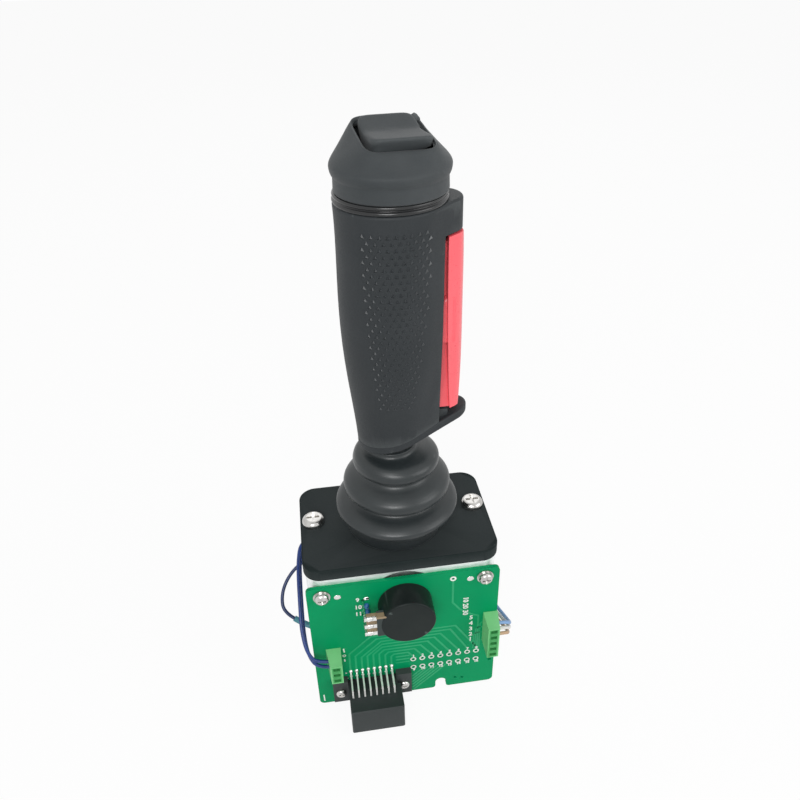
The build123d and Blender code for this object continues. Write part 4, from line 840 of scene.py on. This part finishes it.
work = bmesh.new()
for z in LUG_HEIGHTS:
    dome(-15.3, z, 1.6, 0.55, work, squash=0.72, lift=LUG_FACE)
add_piece("lug_solder", finish_mesh("lug_solder", work), "tin", "base")


# Potentiometer: its can, its tab and the tan wafer that carries the lugs

CAN_RADIUS = 11.0
CAN_FRONT = -36.3
BUSH_RADIUS = 4.75
BUSH_END = -20.3
BORE_RADIUS = 3.1
BORE_FOOT = -30.3
CAN_STEPS = 128


def slab(name, low, high, look):
    """Flat part of the potentiometer with chamfered corners."""
    chamfer = 0.25
    edge = 0.1
    rings = []
    for inset, y in ((edge, low[1]), (0.0, low[1] + edge), (0.0, high[1])):
        left, right = low[0] + inset, high[0] - inset
        foot, top = low[2] + inset, high[2] - inset
        outline = [(left + chamfer, foot), (right - chamfer, foot), (right, foot + chamfer),
                   (right, top - chamfer), (right - chamfer, top), (left + chamfer, top),
                   (left, top - chamfer), (left, foot + chamfer)]
        rings.append([Vector((x, y, z)) * MM for x, z in outline])
    add_piece(name, rings_mesh(name, rings), look, "base", smooth=False)


def sensor_can():
    """Round can of the potentiometer with its bush and bore, about the lever's pivot."""
    profile = (
        [(9.0, CAN_FRONT), (10.25, CAN_FRONT)]
        + arc((10.3, CAN_FRONT), (10.8, -36.09), (CAN_RADIUS, -35.6), 6)
        + [(CAN_RADIUS, -35.5), (CAN_RADIUS, -25.8), (CAN_RADIUS, BOARD_FRONT),
           (10.9, BOARD_FRONT), (BUSH_RADIUS, BOARD_FRONT), (BUSH_RADIUS, BUSH_END - 0.05),
           (4.7, BUSH_END), (3.12, BUSH_END), (BORE_RADIUS, BUSH_END - 0.05),
           (BORE_RADIUS, BORE_FOOT)])
    turns = [2 * math.pi * step / CAN_STEPS for step in range(CAN_STEPS)]
    rings = [[Vector((radius * math.cos(turn), y, radius * math.sin(turn) + PIVOT_Z)) * MM
              for turn in turns] for radius, y in profile]
    return rings_mesh("sensor_can", rings)


add_piece("sensor_can", sensor_can(), "pot_black", "base", ["potentiometer_body"])
slab("sensor_tab", (-12.4, -36.15, -28.0), (-7.0, -32.8, -17.0), "pot_black")
slab("wafer_edge", (-12.6, -36.4, -17.7), (-8.6, -34.0, -16.8), "phenolic_tan")
slab("wafer_plate", (-16.5, -34.85, -27.9), (-12.0, -33.5, -17.1), "phenolic_tan")


# Capacitor and numbers

PAD_NUMBER_SIZE = 1.9
BLOCK_NUMBER_X = 27.9
LUG_NUMBER_X = -18.9

work = bmesh.new()
for x, z in ((-15.5, -21.6), (-15.2, -25.0)):
    dome(x, z, 1.15, 1.5, work, squash=1.35)
add_piece("capacitor_beads", finish_mesh("capacitor_beads", work), "capacitor_blue", "base",
          ["blue_capacitor"])


def number(text, x, z, size, turn=0.0):
    """Generic pin number, raised like silk print and facing the board's front."""
    data = bpy.data.curves.new("number", "FONT")
    data.body = text
    data.size = size * MM
    data.extrude = 0.03 * MM
    data.offset = 0.1 * MM
    data.align_x = "CENTER"
    data.align_y = "CENTER"
    data.resolution_u = 2
    made = bpy.data.objects.new("number", data)
    bpy.context.scene.collection.objects.link(made)
    made.matrix_world = (Matrix.Translation(on_board(x, z, 0.04))
                         @ Matrix.Rotation(math.pi / 2, 4, "X") @ Matrix.Rotation(turn, 4, "Z"))
    bpy.context.view_layer.update()
    mesh = bpy.data.meshes.new_from_object(
        made.evaluated_get(bpy.context.evaluated_depsgraph_get()))
    mesh.transform(made.matrix_world)
    bpy.data.objects.remove(made)
    return mesh


meshes = []
for column, x in enumerate(PAD_X):
    meshes.append(number(str(1 + column), x + 0.15, UPPER_PADS + 2.1, PAD_NUMBER_SIZE))
    meshes.append(number(str(9 + column), x + 0.3, LOWER_PADS - 1.75, PAD_NUMBER_SIZE))
for index, z in enumerate((-37.2, -40.8, -44.3, -47.7, -51.0)):
    meshes.append(number(str(5 - index), BLOCK_NUMBER_X, z, 3.2))
for text, z in (("9", -17.7), ("10", -22.0), ("11", -25.9)):
    meshes.append(number(text, LUG_NUMBER_X, z, 3.0))
meshes.append(number("10 20 30", 25.2, -29.6, 3.1, -math.pi / 2))
work = bmesh.new()
for mesh in meshes:
    work.from_mesh(mesh)
    bpy.data.meshes.remove(mesh)
add_piece("board_numbers", finish_mesh("board_numbers", work), "silk_white", "base",
          smooth=False)


# Floor, lamps and world

LAMP_TARGET = Vector((0, 0, 0.04))
FLOOR_HALF = 4
FLOOR_HEIGHT = -0.0822
FLOOR_GLOW = 0.92
WORLD_LIGHT = 0.48
WORLD_WHITE = 1.0
BACKGROUND_RAYS = ("Is Camera Ray", "Is Glossy Ray", "Is Transmission Ray")


def area_lamp(name, place, size, power):
    """Round soft lamp that points at the object."""
    data = bpy.data.lights.new(name, "AREA")
    data.shape = "DISK"
    data.size = size
    data.energy = power
    made = bpy.data.objects.new(name, data)
    bpy.context.scene.collection.objects.link(made)
    made.location = place
    made.rotation_euler = (LAMP_TARGET - Vector(place)).to_track_quat("-Z", "Y").to_euler()


def background_ray(tree):
    """1 for the rays that see the white background, and 0 for those that carry its light."""
    path = tree.nodes.new("ShaderNodeLightPath")
    seen = path.outputs[BACKGROUND_RAYS[0]]
    for kind in BACKGROUND_RAYS[1:]:
        either = tree.nodes.new("ShaderNodeMath")
        either.operation = "MAXIMUM"
        tree.links.new(seen, either.inputs[0])
        tree.links.new(path.outputs[kind], either.inputs[1])
        seen = either.outputs[0]
    return seen


area_lamp("key", (-0.3, -1.15, 0.85), 0.7, 11.0)
area_lamp("fill", (0.9, -0.5, 0.5), 0.8, 3.5)
area_lamp("back", (0.2, 1.0, 0.8), 0.9, 1.2)

floor_mesh = bpy.data.meshes.new("floor")
floor_corners = [(-FLOOR_HALF, -FLOOR_HALF, 0), (FLOOR_HALF, -FLOOR_HALF, 0),
                 (FLOOR_HALF, FLOOR_HALF, 0), (-FLOOR_HALF, FLOOR_HALF, 0)]
floor_mesh.from_pydata(floor_corners, [], [(0, 1, 2, 3)])
floor = bpy.data.objects.new("floor", floor_mesh)
bpy.context.scene.collection.objects.link(floor)
floor.location = (0, 0, FLOOR_HEIGHT)

pale = bpy.data.materials.new("floor_pale")
pale.use_nodes = True
tree = pale.node_tree
tree.nodes.clear()
output = tree.nodes.new("ShaderNodeOutputMaterial")
diffuse = tree.nodes.new("ShaderNodeBsdfDiffuse")
diffuse.inputs["Color"].default_value = (0.9, 0.9, 0.9, 1)
glow = tree.nodes.new("ShaderNodeEmission")
glow.inputs["Color"].default_value = (1, 1, 1, 1)
glow.inputs["Strength"].default_value = 1.0
weight = tree.nodes.new("ShaderNodeMath")
weight.operation = "MULTIPLY"
weight.inputs[1].default_value = FLOOR_GLOW
blend = tree.nodes.new("ShaderNodeMixShader")
tree.links.new(background_ray(tree), weight.inputs[0])
tree.links.new(weight.outputs[0], blend.inputs[0])
tree.links.new(diffuse.outputs[0], blend.inputs[1])
tree.links.new(glow.outputs[0], blend.inputs[2])
tree.links.new(blend.outputs[0], output.inputs["Surface"])
floor_mesh.materials.append(pale)

world = bpy.data.worlds.new("world")
bpy.context.scene.world = world
world.use_nodes = True
tree = world.node_tree
tree.nodes.clear()
output = tree.nodes.new("ShaderNodeOutputWorld")
background = tree.nodes.new("ShaderNodeBackground")
background.inputs["Color"].default_value = (1, 1, 1, 1)
level = tree.nodes.new("ShaderNodeMapRange")
level.inputs["To Min"].default_value = WORLD_LIGHT
level.inputs["To Max"].default_value = WORLD_WHITE
tree.links.new(background_ray(tree), level.inputs["Value"])
tree.links.new(level.outputs["Result"], background.inputs["Strength"])
tree.links.new(background.outputs[0], output.inputs["Surface"])

bpy.context.scene.view_settings.view_transform = "Standard"
